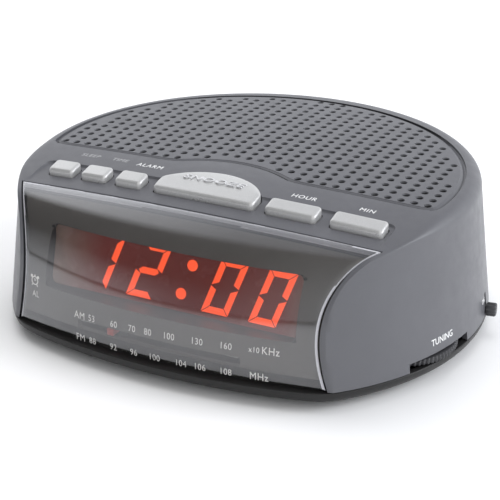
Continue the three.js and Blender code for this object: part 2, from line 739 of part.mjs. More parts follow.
function caseGroup() {
  const made = new THREE.Group();
  addTo(made, "top_case", topCase(), finish.charcoal);
  addTo(made, "bottom_case", bottomCase(), finish.base);
  addTo(made, "display_lens", frontSheet(0, LENS_THICK, 0.9 + GAP, GAP), finish.smoke);
  addTo(made, "dial_panel", dialPanel(), finish.panel);
  for (const { name, x, y } of FEET) addTo(made, `foot_${name}`, foot(), finish.rubber, x, y);
  for (const { name, x, y } of SCREWS) addTo(made, `screw_${name}`, screw(), finish.steel, x, y);
  addTo(made, "battery_door", batteryDoor(), finish.base);
  addTo(made, "battery_contacts", batteryContacts(), finish.steel);
  return made;
}

function buttonGroup() {
  const made = new THREE.Group();
  const lip = 1;
  const [lipFront, lipRear] = [BUTTON_FRONT_Y - lip, BUTTON_REAR_Y + lip];
  for (const button of BUTTONS) {
    const { name, left, right } = button;
    const [lipLeft, lipRight] = [left - lip, right + lip];
    const front = [[lipLeft, lipFront], [lipRight, lipFront]];
    const flange = polygon([...front, [lipRight, lipRear], [lipLeft, lipRear]]);
    const body = buttonSolid(buttonOutline(button, 0), flange, left, right);
    addTo(made, `button_${name}`, body, finish.silver);
  }
  const snooze = buttonSolid(snoozeOutline(0), snoozeOutline(lip), -SNOOZE_HALF, SNOOZE_HALF);
  addTo(made, "button_snooze", snooze, finish.silver);
  const y = (BUTTON_REAR_Y + BUTTON_FRONT_Y) / 2;
  const all = [...BUTTONS, { name: "snooze", left: -SNOOZE_HALF, right: SNOOZE_HALF }];
  for (const { name, left, right } of all) {
    addTo(made, `switch_${name}`, tactSwitch(), finish.black, (left + right) / 2, y);
  }
  const board = box(-66, 66, BUTTON_FRONT_Y - 3, -24, BUTTON_PCB_Z, BUTTON_PCB_Z + PCB_THICK);
  addTo(made, "button_pcb", board, finish.board);
  return made;
}

function displayGroup() {
  const made = new THREE.Group();
  made.position.set(0, DISPLAY_Y, DISPLAY_Z);
  made.rotation.x = radians(-DISPLAY_LEAN);
  const [half, high, boardHalf, boardHigh] = [44, 8.8, 50, 11];
  const boardY = DISPLAY_THICK + GAP;
  addTo(made, "led_module", box(-half, half, 0, DISPLAY_THICK, -high, high), finish.black);
  const board = box(-boardHalf, boardHalf, boardY, boardY + PCB_THICK, -boardHigh, boardHigh);
  addTo(made, "display_pcb", board, finish.board);
  return made;
}

function tuningGroup() {
  const made = new THREE.Group();
  const [x, y] = [wheelAxis.x, wheelAxis.y];
  addTo(made, "tuning_wheel", thumbwheel(), finish.black, x, y, WHEEL_Z);
  addTo(made, "tuning_capacitor", tunerBlock(20, 12), finish.panel, x, y);
  addTo(made, "volume_wheel", thumbwheel(), finish.black, -x, y, WHEEL_Z);
  addTo(made, "volume_control", tunerBlock(16, 7), finish.core, -x, y);
  addTo(made, "dial_pointer", dialPointer(), finish.red, POINTER_X, 0, POINTER_Z);
  const [half, thick, high] = [38, 2, 2];
  const rail = box(-half, half, POINTER_RAIL_Y, POINTER_RAIL_Y + thick, POINTER_Z - high, POINTER_Z + high);
  addTo(made, "pointer_rail", rail, finish.steel);
  return made;
}

function sliderGroup(name, angle) {
  const made = new THREE.Group();
  made.position.set(0, CENTRE_Y, 0);
  made.rotation.z = radians(angle);
  addTo(made, `${name}_knob`, sliderKnob(), finish.charcoal, 0, 0, SLIDER_Z);
  const { inner, outer, half, bottom, top } = SLIDER_BODY;
  addTo(made, `${name}_body`, box(inner, outer, -half, half, bottom, top), finish.core);
  return made;
}

function soundGroup() {
  const made = new THREE.Group();
  made.position.set(0, SPEAKER_Y, 0);
  addTo(made, "speaker_frame", speakerFrame(), finish.core);
  addTo(made, "speaker_cone", speakerCone(), finish.paper);
  addTo(made, "speaker_magnet", speakerMagnet(), finish.ferrite);
  return made;
}

function powerGroup() {
  const made = new THREE.Group();
  const { x, y, z } = TRANSFORMER;
  addTo(made, "transformer_core", transformerCore(), finish.core, x, y, z);
  addTo(made, "transformer_winding", transformerWinding(), finish.tape, x, y, z);
  addTo(made, "strain_relief", atFlank(placed(strainRelief(), 0, 0, CORD_Z), CORD_ANGLE), finish.rubber);
  const straight = [66, 73, 80, 87, 94.5].map((reach) => [reach, 0, CORD_Z]);
  const cordPath = [...straight, [97, 0, 10], [97.8, 0, 5]];
  addTo(made, "power_cord", atFlank(cord(cordPath, CORD_R), CORD_ANGLE), finish.black);
  return made;
}

function aerialGroup() {
  const made = new THREE.Group();
  const rodMesh = addTo(made, "ferrite_rod", ferriteRod(), finish.ferrite, 0, FERRITE.y, FERRITE.z);
  const coilMesh = addTo(made, "aerial_coil", aerialCoil(), finish.copper, 0, FERRITE.y, FERRITE.z);
  for (const mesh of [rodMesh, coilMesh]) mesh.rotation.y = Math.PI / 2;
  const wirePath = [[74, 0, 14], [80, 0, CORD_Z], [88, 0, CORD_Z], [92, 0, 8], [93, 0, 2]];
  addTo(made, "aerial_wire", atFlank(cord(wirePath, WIRE_R), WIRE_ANGLE), finish.black);
  return made;
}

const group = new THREE.Group();
group.add(caseGroup(), buttonGroup(), displayGroup(), tuningGroup());
group.add(sliderGroup("function_switch", SLIDER_ANGLE), sliderGroup("band_switch", 180 - SLIDER_ANGLE));
group.add(soundGroup(), powerGroup(), aerialGroup());
addTo(group, "main_pcb", mainPcb(), finish.board);

export default group;
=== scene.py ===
import json
import math

import bpy
from mathutils import Matrix, Vector


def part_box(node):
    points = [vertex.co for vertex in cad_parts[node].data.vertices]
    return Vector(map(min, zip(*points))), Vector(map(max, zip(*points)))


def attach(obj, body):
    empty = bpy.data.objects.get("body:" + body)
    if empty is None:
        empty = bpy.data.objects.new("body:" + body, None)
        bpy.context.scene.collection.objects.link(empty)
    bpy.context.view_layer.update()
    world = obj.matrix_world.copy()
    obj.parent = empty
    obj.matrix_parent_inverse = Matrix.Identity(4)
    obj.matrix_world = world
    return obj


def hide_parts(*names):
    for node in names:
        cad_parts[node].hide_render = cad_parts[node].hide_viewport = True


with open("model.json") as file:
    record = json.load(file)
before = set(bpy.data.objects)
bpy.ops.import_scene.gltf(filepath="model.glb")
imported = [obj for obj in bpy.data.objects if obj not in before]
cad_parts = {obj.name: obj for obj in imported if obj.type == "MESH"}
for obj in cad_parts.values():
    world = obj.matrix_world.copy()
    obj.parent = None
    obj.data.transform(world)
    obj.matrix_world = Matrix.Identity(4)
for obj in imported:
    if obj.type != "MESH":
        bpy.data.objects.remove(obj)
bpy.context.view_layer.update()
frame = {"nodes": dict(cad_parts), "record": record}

# A mains clock radio: looks and fine shapes over the CAD frame.
# Lengths below are in millimetres; MM turns them into the frame's metres when a mesh is made.
MM = 0.001


def box_mm(node):
    low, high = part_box(node)
    return low / MM, high / MM


# ---- Places taken from the frame ----

case_low, case_high = box_mm("top_case")
base_low, base_high = box_mm("bottom_case")
lens_low, lens_high = box_mm("display_lens")
module_low, module_high = box_mm("led_module")
cone_low, cone_high = box_mm("speaker_cone")

SEAM_Z = case_low.z
TOP_Z = case_high.z
FLOOR_Z = base_low.z
BODY_R = base_high.x
CENTRE_Y = base_high.y - BODY_R
CHIN_Y = base_low.y
RIM_Z = SEAM_Z - 0.3
LENS_TOP_Y = lens_high.y + 0.3
LENS_BOTTOM_Z = lens_low.z
SPEAKER_Y = (cone_low.y + cone_high.y) / 2

# ---- The case's shape ----

FLANK_TAPER = 0.117
WALL = 2.2
SHOULDER = 5
CROWN_Y = 20
CROWN_ACROSS = 0.00028
CROWN_ALONG = 0.00045
FALL_START_Y = -20
FRONT_FALL = 3.13
LENS_TOP_Z = 51.2
LENS_REACH = 19
LENS_BOW = 0.405
LENS_HALF_WIDTH = 60
LENS_THICK = 1.8
LENS_RIM = 0.9
PANEL_DEPTH = 2.6
PANEL_THICK = 1.6
CHIN_R = 211
CHANNEL_REAR_Y = -34.5
CHANNEL_REAR_Z = 53.2
BUTTON_LIP = 1
BUTTON_GAP = 0.35
FAR = 110

# The grille's square lattice of holes.
HOLE_PITCH = 4.7
HOLE_ROW_0_Y = -18
HOLE_R = 1.15
HOLE_COLUMNS = 15
HOLE_ROWS = 18


def flank_radius(z):
    return BODY_R - FLANK_TAPER * (z - SEAM_Z)


def smoothstep(value, low, high):
    share = min(max((value - low) / (high - low), 0), 1)
    return share * share * (3 - 2 * share)


def top_drop(x, y):
    """How far the top lies below its highest point."""
    forward = min(max(0, (FALL_START_Y - y) / (FALL_START_Y - LENS_TOP_Y)), 1.6)
    return CROWN_ACROSS * x * x + CROWN_ALONG * (y - CROWN_Y) ** 2 + FRONT_FALL * forward ** 1.6


def top_z(x, y):
    return TOP_Z - top_drop(x, y)


# ---- Mesh helpers: a shape is (points, faces) in millimetres ----

def make_object(name, shape):
    points, faces = shape
    mesh = bpy.data.meshes.new(name)
    mesh.from_pydata([Vector(p) * MM for p in points], [], faces)
    mesh.validate()
    made = bpy.data.objects.new(name, mesh)
    bpy.context.scene.collection.objects.link(made)
    return made


def face_outwards(made):
    import bmesh
    mesh = bmesh.new()
    mesh.from_mesh(made.data)
    bmesh.ops.recalc_face_normals(mesh, faces=mesh.faces)
    mesh.to_mesh(made.data)
    mesh.free()
    return made


def loft(loops):
    """A closed solid through a row of equal closed loops, with its two ends capped."""
    count = len(loops[0])
    points = [p for loop in loops for p in loop]
    faces = []
    for row in range(len(loops) - 1):
        for i in range(count):
            j = (i + 1) % count
            faces.append((row * count + i, row * count + j, (row + 1) * count + j, (row + 1) * count + i))
    faces.append(tuple(range(count))[::-1])
    faces.append(tuple((len(loops) - 1) * count + i for i in range(count)))
    return points, faces


def ring_loft(loops):
    """A closed solid like loft, whose last loop joins back to its first."""
    count, rows = len(loops[0]), len(loops)
    points = [p for loop in loops for p in loop]
    faces = []
    for row in range(rows):
        after = (row + 1) % rows
        for i in range(count):
            j = (i + 1) % count
            faces.append((row * count + i, row * count + j, after * count + j, after * count + i))
    return points, faces


def slab(front, back):
    """A closed sheet between two equal grids of points."""
    rows, columns = len(front), len(front[0])
    points = [p for row in front for p in row] + [p for row in back for p in row]
    offset = rows * columns
    faces = []
    for r in range(rows - 1):
        for c in range(columns - 1):
            a, b = r * columns + c, (r + 1) * columns + c
            faces.append((a, b, b + 1, a + 1))
            faces.append((offset + a, offset + a + 1, offset + b + 1, offset + b))
    border = [(0, c) for c in range(columns)] + [(r, columns - 1) for r in range(1, rows)]
    border += [(rows - 1, c) for c in range(columns - 2, -1, -1)] + [(r, 0) for r in range(rows - 2, 0, -1)]
    for n, (r, c) in enumerate(border):
        r2, c2 = border[(n + 1) % len(border)]
        a, b = r * columns + c, r2 * columns + c2
        faces.append((a, b, offset + b, offset + a))
    return points, faces


def circle(r, z, segments, x=0, y=0):
    turns = [2 * math.pi * i / segments for i in range(segments)]
    return [(x + r * math.cos(t), y + r * math.sin(t), z) for t in turns]


def turned(profile, segments=48, x=0, y=0):
    """A profile of (radius, height) turned about a vertical axis."""
    return loft([circle(r, z, segments, x, y) for r, z in profile])


def box_shape(x0, x1, y0, y1, z0, z1):
    corners = [(x0, y0), (x1, y0), (x1, y1), (x0, y1)]
    return loft([[(x, y, z0) for x, y in corners], [(x, y, z1) for x, y in corners]])


def raised(outline, z0, z1):
    return loft([[(x, y, z0) for x, y in outline], [(x, y, z1) for x, y in outline]])


def moved(shape, matrix):
    points, faces = shape
    return [tuple(matrix @ Vector(p)) for p in points], faces


def merged(shapes):
    points, faces = [], []
    for more_points, more_faces in shapes:
        start = len(points)
        points += more_points
        faces += [tuple(start + i for i in face) for face in more_faces]
    return points, faces


def at_flank(shape, angle):
    """Turns a shape made in the flank's own directions (outwards, sideways, up) to its place."""
    turn = Matrix.Translation((0, CENTRE_Y, 0)) @ Matrix.Rotation(math.radians(angle), 4, "Z")
    return moved(shape, turn)


def solid(shape):
    return face_outwards(make_object("solid", shape))


def combine(target, tool, operation):
    modifier = target.modifiers.new("combine", "BOOLEAN")
    modifier.operation = operation
    modifier.solver = "MANIFOLD"
    modifier.object = tool
    graph = bpy.context.evaluated_depsgraph_get()
    made = bpy.data.meshes.new_from_object(target.evaluated_get(graph))
    target.modifiers.clear()
    old = [target.data, tool.data]
    target.data = made
    bpy.data.objects.remove(tool)
    for mesh in old:
        bpy.data.meshes.remove(mesh)
    return target


def cut(target, shape):
    return combine(target, solid(shape), "DIFFERENCE")


def join(target, shape):
    return combine(target, solid(shape), "UNION")


def keep(target, shape):
    return combine(target, solid(shape), "INTERSECT")


def rounded_rectangle(x0, x1, y0, y1, r, steps=8):
    points = []
    for cx, cy, start in [(x1 - r, y0 + r, -90), (x1 - r, y1 - r, 0), (x0 + r, y1 - r, 90), (x0 + r, y0 + r, 180)]:
        for i in range(steps + 1):
            t = math.radians(start + 90 * i / steps)
            points.append((cx + r * math.cos(t), cy + r * math.sin(t)))
    return points


def finished(made, name, material, body="case", stands_for=(), sharp=38):
    """Names a piece, smooths it up to an edge angle and puts it on its body."""
    made.name = name
    made.data.name = name
    made.data.materials.clear()
    for one in material if isinstance(material, (list, tuple)) else [material]:
        made.data.materials.append(one)
    made.data.shade_smooth()
    made.data.set_sharp_from_angle(angle=math.radians(sharp))
    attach(made, body)
    if stands_for:
        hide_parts(*stands_for)
    return made


# ---- Case surfaces ----

def puck(inset, bottom_z, segments, bed=0):
    """The round body inset all over; bed thickens the top under the buttons."""
    roof = TOP_Z - inset
    bend = SHOULDER - inset
    shoulder_z = roof - bend
    shoulder_r = flank_radius(TOP_Z - SHOULDER) - SHOULDER
    levels = [bottom_z + (shoulder_z - bottom_z) * i / 12 for i in range(12)]
    profile = [(flank_radius(z) - inset, z) for z in levels]
    facets, rings = 10, 26
    for i in range(facets + 1):
        t = math.pi / 2 * i / facets
        profile.append((shoulder_r + bend * math.cos(t), shoulder_z + bend * math.sin(t)))
    for i in range(1, rings):
        profile.append((shoulder_r * (1 - i / rings), roof))
    loops = []
    for r, z in profile:
        loop = []
        for x, y, _ in circle(r, z, segments):
            y += CENTRE_Y
            share = max(0, (z - SEAM_Z) / (roof - SEAM_Z))
            forward = smoothstep(-y, 26, 34)
            out_r, out_z = math.hypot(x, y - CENTRE_Y), z - shoulder_z
            # Near the lens the shoulder tightens to an edge.
            tight = smoothstep(-y, 18, 44) * 0.75
            on_shoulder = out_r > shoulder_r + 1e-3 and out_z > 1e-3
            grow = 1 + tight * (bend - (out_r - shoulder_r)) / out_r if on_shoulder else 1
            lift = tight * (bend - out_z) if on_shoulder else 0
            fall = share * (top_drop(x, y) + bed * forward)
            if out_r > shoulder_r - 1e-3:
                grow += FLANK_TAPER * fall / out_r
            x, y = x * grow, CENTRE_Y + (y - CENTRE_Y) * grow
            fall = share * (top_drop(x, y) + bed * forward)
            loop.append((x, y, z + lift - fall))
        loops.append(loop)
    return loft(loops)


def column(inset):
    high = TOP_Z + 13.5
    return turned([(flank_radius(0) - inset, 0), (flank_radius(high) - inset, high)], 240, 0, CENTRE_Y)


def bezier(points, t):
    weights = [(1 - t) ** 3, 3 * t * (1 - t) ** 2, 3 * t * t * (1 - t), t ** 3]
    return [sum(w * p[k] for w, p in zip(weights, points)) for k in (0, 1)]


LENS_LINE = [
    (LENS_TOP_Y, LENS_TOP_Z),
    (LENS_TOP_Y - 11, LENS_TOP_Z - 1),
    (LENS_TOP_Y - 20, LENS_TOP_Z - 12),
    (LENS_TOP_Y - LENS_REACH, LENS_BOTTOM_Z),
]


def lens_line_point(t, depth):
    """A point of the lens's side outline, moved into the case by depth."""
    y, z = bezier(LENS_LINE, t)
    ahead, behind = bezier(LENS_LINE, min(t + 1e-3, 1)), bezier(LENS_LINE, max(t - 1e-3, 0))
    dy, dz = ahead[0] - behind[0], ahead[1] - behind[1]
    length = math.hypot(dy, dz)
    return y - depth * dz / length, z + depth * dy / length


def bow(x, y, z):
    """Bows a side outline forward in the middle and lowers it towards the sides."""
    stretch = 1 + LENS_BOW * (1 - (x / LENS_HALF_WIDTH) ** 2) if y < LENS_TOP_Y else 1
    share = min(max((z - SEAM_Z) / (LENS_TOP_Z - SEAM_Z), 0), 1)
    return x, LENS_TOP_Y + (y - LENS_TOP_Y) * stretch, z - CROWN_ACROSS * x * x * share


def lens_point(x, t, depth):
    return bow(x, *lens_line_point(t, depth))


def lens_at(x, z, depth):
    """The lens's point and outward normal at a given x and height."""
    low, high = 0.0, 1.0
    for _ in range(40):
        middle = (low + high) / 2
        if lens_point(x, middle, depth)[2] > z:
            low = middle
        else:
            high = middle
    here = Vector(lens_point(x, low, depth))
    along = Vector(lens_point(x, min(low + 0.01, 1), depth)) - Vector(lens_point(x, max(low - 0.01, 0), depth))
    across = Vector(lens_point(x + 0.5, low, depth)) - Vector(lens_point(x - 0.5, low, depth))
    normal = along.cross(across).normalized()
    return here, (normal if normal.y < 0 else -normal)


def front_space(depth):
    """Everything in front of the lens's outer face, moved back by depth."""
    steps, half, columns = 28, 75, 60
    line = [lens_line_point(i / steps, depth) for i in range(steps + 1)]
    line[0] = (LENS_TOP_Y, line[0][1])
    outline = line + [(line[-1][0], -4), (-130, -4), (-130, FAR), (LENS_TOP_Y, FAR)]
    loops = []
    for c in range(columns + 1):
        x = -half + 2 * half * c / columns
        loops.append([bow(x, y, z) for y, z in outline])
    return loft(loops)


def lens_edge_x(t, depth, inset):
    """Where the lens's side edge lies at a place along its outline."""
    low, high = 40.0, 75.0
    for _ in range(40):
        x = (low + high) / 2
        _, y, z = lens_point(x, t, depth)
        if math.hypot(x, y - CENTRE_Y) < flank_radius(z) - inset:
            low = x
        else:
            high = x
    return low


def sheet(front_depth, back_depth, inset, edge_r, first_t, last_t=1.0, columns=64, rows=44):
    """A curved sheet behind the lens's outer face, with rounded edges."""
    rim = [0, 0.12, 0.3, 0.55, 1.0]
    us = [edge_r * s for s in rim]
    front, back = [], []
    length = 62
    ts = [first_t + edge_r * s / length for s in rim]
    ts += [ts[-1] + (last_t - edge_r / length - ts[-1]) * i / rows for i in range(1, rows)]
    ts += [last_t - edge_r * s / length for s in reversed(rim)]
    for t in ts:
        from_end = min(t - first_t, last_t - t) * length
        edge = lens_edge_x(t, front_depth, inset)
        xs = [-edge + u for u in us]
        xs += [-edge + edge_r + (2 * edge - 2 * edge_r) * i / columns for i in range(1, columns)]
        xs += [edge - u for u in reversed(us)]
        front_row, back_row = [], []
        for x in xs:
            inside = min(edge - abs(x), from_end, edge_r)
            sink = edge_r - math.sqrt(max(edge_r ** 2 - (edge_r - inside) ** 2, 0))
            front_row.append(lens_point(x, t, front_depth + sink))
            back_row.append(lens_point(x, t, back_depth))
        front.append(front_row)
        back.append(back_row)
    return slab(front, back)


def lattice():
    """Every hole of the grille as (x, y, whether it goes through over the loudspeaker)."""
    half_wide, half_long = 71.5, 69.6
    through_reach = 7.3 * HOLE_PITCH
    skipped = {0: 4, 1: 2}
    for row in range(HOLE_ROWS):
        y = HOLE_ROW_0_Y + HOLE_PITCH * row
        for column_index in range(-HOLE_COLUMNS, HOLE_COLUMNS + 1):
            x = HOLE_PITCH * column_index
            if (x / half_wide) ** 2 + ((y - CENTRE_Y) / half_long) ** 2 > 1:
                continue
            if row in skipped and abs(column_index) <= skipped[row]:
                continue
            yield x, y, math.hypot(x, y - SPEAKER_Y) < through_reach


def hole_cutters():
    shapes = []
    for x, y, through in lattice():
        z = top_z(x, y)
        if through:
            profile = [(HOLE_R, z - 5), (HOLE_R, z - 0.4), (HOLE_R + 0.25, z), (HOLE_R + 0.25, z + 2)]
        else:
            profile = [(0.7, z - 1.8), (HOLE_R, z - 1.5), (HOLE_R, z - 0.4), (HOLE_R + 0.25, z), (HOLE_R + 0.25, z + 2)]
        shapes.append(turned(profile, 14, x, y))
    return merged(shapes)


def grille_outline():
    """The line round the grille: a wide ellipse, cut by a front line with a bump behind the snooze button."""
    half_wide, half_long = 75.4, 72.3
    front_y, bump_half, bump_y = -21.5, 22, -14.5
    rise = bump_y - front_y
    bump_r = (bump_half ** 2 + rise ** 2) / (2 * rise)
    corner = math.asin((front_y - CENTRE_Y) / half_long)
    points = []
    steps = 120
    for i in range(steps + 1):
        t = corner + (math.pi - 2 * corner) * i / steps
        points.append((half_wide * math.cos(t), CENTRE_Y + half_long * math.sin(t)))
    left = points[-1][0]
    for i in range(1, 12):
        points.append((left + (-bump_half - 3 - left) * i / 11, front_y))
    for i in range(25):
        x = -bump_half + 2 * bump_half * i / 24
        points.append((x, front_y + rise - bump_r + math.sqrt(bump_r ** 2 - x * x)))
    for i in range(11):
        points.append((bump_half + 3 + (-left - bump_half - 3) * i / 11, front_y))
    return smoothed(points, 2)


def smoothed(points, rounds):
    """A closed outline with its corners eased."""
    for _ in range(rounds):
        count = len(points)
        points = [
            tuple(0.5 * points[i][k] + 0.25 * (points[i - 1][k] + points[(i + 1) % count][k]) for k in (0, 1))
            for i in range(count)
        ]
    return points


def outline_normals(points):
    """Unit outward normals of a closed anticlockwise outline."""
    count = len(points)
    normals = []
    for i in range(count):
        (x0, y0), (x1, y1) = points[i - 1], points[(i + 1) % count]
        dx, dy = x1 - x0, y1 - y0
        length = math.hypot(dx, dy)
        normals.append((dy / length, -dx / length))
    return normals


def grown(points, distance):
    return [(x + distance * nx, y + distance * ny) for (x, y), (nx, ny) in zip(points, outline_normals(points))]


def groove_cutter():
    """A shallow step all round the grille: steep outside, easing up towards the holes."""
    section = [(0.4, 3), (0.35, -0.1), (0.25, -0.85), (-0.35, -0.9), (-0.9, -0.45), (-1.7, -0.12), (-2.0, 3)]
    outline = grille_outline()
    columns = [grown(outline, out) for out, _ in section]
    loops = []
    for i in range(len(outline)):
        loop = []
        for (out, depth), points in zip(section, columns):
            x, y = points[i]
            loop.append((x, y, top_z(x, y) + depth))
        loops.append(loop)
    return ring_loft(loops)


def channel_cutter():
    """The shallow channel behind the lens that the buttons stand in, with sloping ends."""
    half, corner, slope = 66.6, 2.6, 2.4
    floor_fall = (CHANNEL_REAR_Z - LENS_TOP_Z) / (CHANNEL_REAR_Y - LENS_TOP_Y)
    fine = [0.25 * i for i in range(13)]
    xs = [-half + 2 * half * i / 40 for i in range(41)]
    xs = [-half - 3 + f for f in fine[:-1]] + [-half + 0.6 * i for i in range(5)] + xs[2:-2]
    xs = sorted(set(round(x, 4) for x in xs + [-x for x in xs]))
    ys = [LENS_TOP_Y - 5 + 1.2 * i for i in range(14)] + [CHANNEL_REAR_Y - 1.6 + 0.2 * i for i in range(14)]
    low, high = [], []
    for y in ys:
        low_row, high_row = [], []
        for x in xs:
            dx, dy = abs(x) - (half - corner), y - (CHANNEL_REAR_Y - 0.3 - corner)
            outside = math.hypot(max(dx, 0), max(dy, 0)) - corner
            ease = 0.25
            climb = slope * (math.hypot(outside, ease) + outside) / 2
            floor = CHANNEL_REAR_Z + floor_fall * (y - CHANNEL_REAR_Y) - CROWN_ACROSS * x * x
            low_row.append((x, y, floor + climb))
            high_row.append((x, y, TOP_Z + 12))
        low.append(low_row)
        high.append(high_row)
    return slab(low, high)


# ---- Buttons ----

SMALL_BUTTONS = ["sleep", "time", "alarm", "hour", "minute"]


def cap_box(name):
    """The cap's plan inside its flange: left, right, front, rear and top."""
    low, high = box_mm("button_" + name)
    lip = BUTTON_LIP
    return low.x + lip, high.x - lip, low.y + lip, high.y - lip, high.z


def snooze_outline(grow):
    """The snooze bar's plan, grown or shrunk all round: a flat front, short sides and an arc behind."""
    left, right, front, rear, _ = cap_box("snooze")
    half, bulge = (right - left) / 2, 11.3
    arc_r = (half * half + bulge * bulge) / (2 * bulge)
    centre_y = rear - arc_r
    half, front, arc_r = half + grow, front - grow, arc_r + grow
    side = centre_y + math.sqrt(arc_r ** 2 - half ** 2)
    spread = math.asin(half / arc_r)
    points = [(-half + 2 * half * i / 40, front) for i in range(41)]
    points += [(half, front + (side - front) * i / 10) for i in range(1, 11)]
    for i in range(1, 60):
        t = spread - 2 * spread * i / 60
        points.append((arc_r * math.sin(t), centre_y + arc_r * math.cos(t)))
    points += [(-half, side + (front - side) * i / 10) for i in range(10)]
    return smoothed(points, 4)


def button_outline(name, grow):
    if name == "snooze":
        return snooze_outline(grow)
    left, right, front, rear, _ = cap_box(name)
    return rounded_rectangle(left - grow, right + grow, front - grow, rear + grow, 1.3 + grow)


def tapered(name, inset):
    if name == "snooze":
        return snooze_outline(-inset)
    left, right, front, rear, _ = cap_box(name)
    return rounded_rectangle(left + inset, right - inset, front + inset, rear - inset, max(1.3 - 0.55 * inset, 0.3))


def button(name, material):
    """A cap with a softly rounded rim, whose top slopes down to the front."""
    left, right, front, rear, top = cap_box(name)
    node = "button_" + name
    low, _ = box_mm(node)
    _, _, small_front, small_rear, _ = cap_box("sleep")
    round_r, slope = 1.1, 1.5
    levels = [(0.0, low.z + 1.3), (0.0, top - slope - round_r - 1.2), (0.0, top - round_r)]
    steps = 7
    for i in range(1, steps + 1):
        t = math.pi / 2 * i / steps
        levels.append((round_r * (1 - math.cos(t)), top - round_r + round_r * math.sin(t)))
    levels.append((round_r + 0.9, top))
    loops = []
    for inset, z in levels:
        loop = []
        for x, y in tapered(name, inset):
            forward = min(max((small_rear - y) / (small_rear - small_front), 0), 1)
            across = CROWN_ACROSS * (x * x - ((left + right) / 2) ** 2)
            share = smoothstep(z, top - slope - round_r - 1.2, top - round_r)
            loop.append((x, y, z - share * (slope * forward ** 1.2 + across)))
        loops.append(loop)
    made = solid(loft(loops))
    made = join(made, raised(button_outline(name, BUTTON_LIP * 0.8), low.z + 0.9, low.z + 1.9))
    if name == "snooze":
        made = join(made, snooze_word(top))
    return finished(made, node, material, name + "_button", [node], 50)


# ---- Lettering ----

def text_shape(words, size, thick, shear=0.0, spacing=1.0, squeeze=1.0, bold=0.0):
    """Raised letters lying in their own plane, centred, as (points, faces)."""
    curve = bpy.data.curves.new("words", "FONT")
    curve.body = words
    curve.size = size
    curve.extrude = thick / 2
    curve.shear = shear
    curve.space_character = spacing
    curve.offset = bold
    curve.align_x = "CENTER"
    curve.align_y = "CENTER"
    curve.resolution_u = 4
    holder = bpy.data.objects.new("words", curve)
    bpy.context.scene.collection.objects.link(holder)
    graph = bpy.context.evaluated_depsgraph_get()
    mesh = bpy.data.meshes.new_from_object(holder.evaluated_get(graph))
    points = [(v.co.x * squeeze, v.co.y, v.co.z) for v in mesh.vertices]
    faces = [tuple(p.vertices) for p in mesh.polygons]
    bpy.data.objects.remove(holder)
    bpy.data.curves.remove(curve)
    bpy.data.meshes.remove(mesh)
    return points, faces


def wrapped(shape, place):
    """Bends a flat shape onto a surface: place(u, v) gives a point and its normal."""
    points, faces = shape
    out = []
    for u, v, w in points:
        here, normal = place(u, v)
        out.append(tuple(Vector(here) + Vector(normal) * w))
    return out, faces


def snooze_word(top):
    left, right, front, rear, _ = cap_box("snooze")

    def place(u, v):
        return (u - 0.6, (front + rear) / 2 + 0.6 + v, top - 0.02 - CROWN_ACROSS * u * u), (0, 0, 1)
    return welded(wrapped(text_shape("SNOOZE", 4.5, 0.42, 0.15, 1.15, 1.15), place))


def welded(shape):
    """Joins the doubled corners that lettering comes with, so that each letter is closed."""
    import bmesh
    made = make_object("weld", shape)
    mesh = bmesh.new()
    mesh.from_mesh(made.data)
    bmesh.ops.remove_doubles(mesh, verts=mesh.verts, dist=1e-7)
    points = [tuple(v.co / MM) for v in mesh.verts]
    mesh.verts.ensure_lookup_table()
    faces = [tuple(v.index for v in f.verts) for f in mesh.faces]
    mesh.free()
    data = made.data
    bpy.data.objects.remove(made)
    bpy.data.meshes.remove(data)
    return points, faces


def top_surface(x, y):
    step = 0.5
    slope_x = (top_z(x + step, y) - top_z(x - step, y)) / (2 * step)
    slope_y = (top_z(x, y + step) - top_z(x, y - step)) / (2 * step)
    return Vector((x, y, top_z(x, y))), Vector((-slope_x, -slope_y, 1)).normalized()


def on_top(centre_x, centre_y):
    return lambda u, v: top_surface(centre_x + u, centre_y + v)


def on_flank(angle, height):
    """Upright words on the flank, reading from left to right as seen from outside."""
    def place(u, v):
        r = flank_radius(height + v)
        turn = math.radians(angle) + u / r
        out = Vector((math.cos(turn), math.sin(turn), 0))
        return Vector((0, CENTRE_Y, height + v)) + out * r, (out + Vector((0, 0, FLANK_TAPER))).normalized()
    return place


def on_lens(centre_x, centre_z, depth):
    return lambda u, v: lens_at(centre_x + u, centre_z + v, depth)


# ---- Materials ----

def new_material(name):
    material = bpy.data.materials.new(name)
    material.use_nodes = True
    material.node_tree.nodes.clear()
    return material


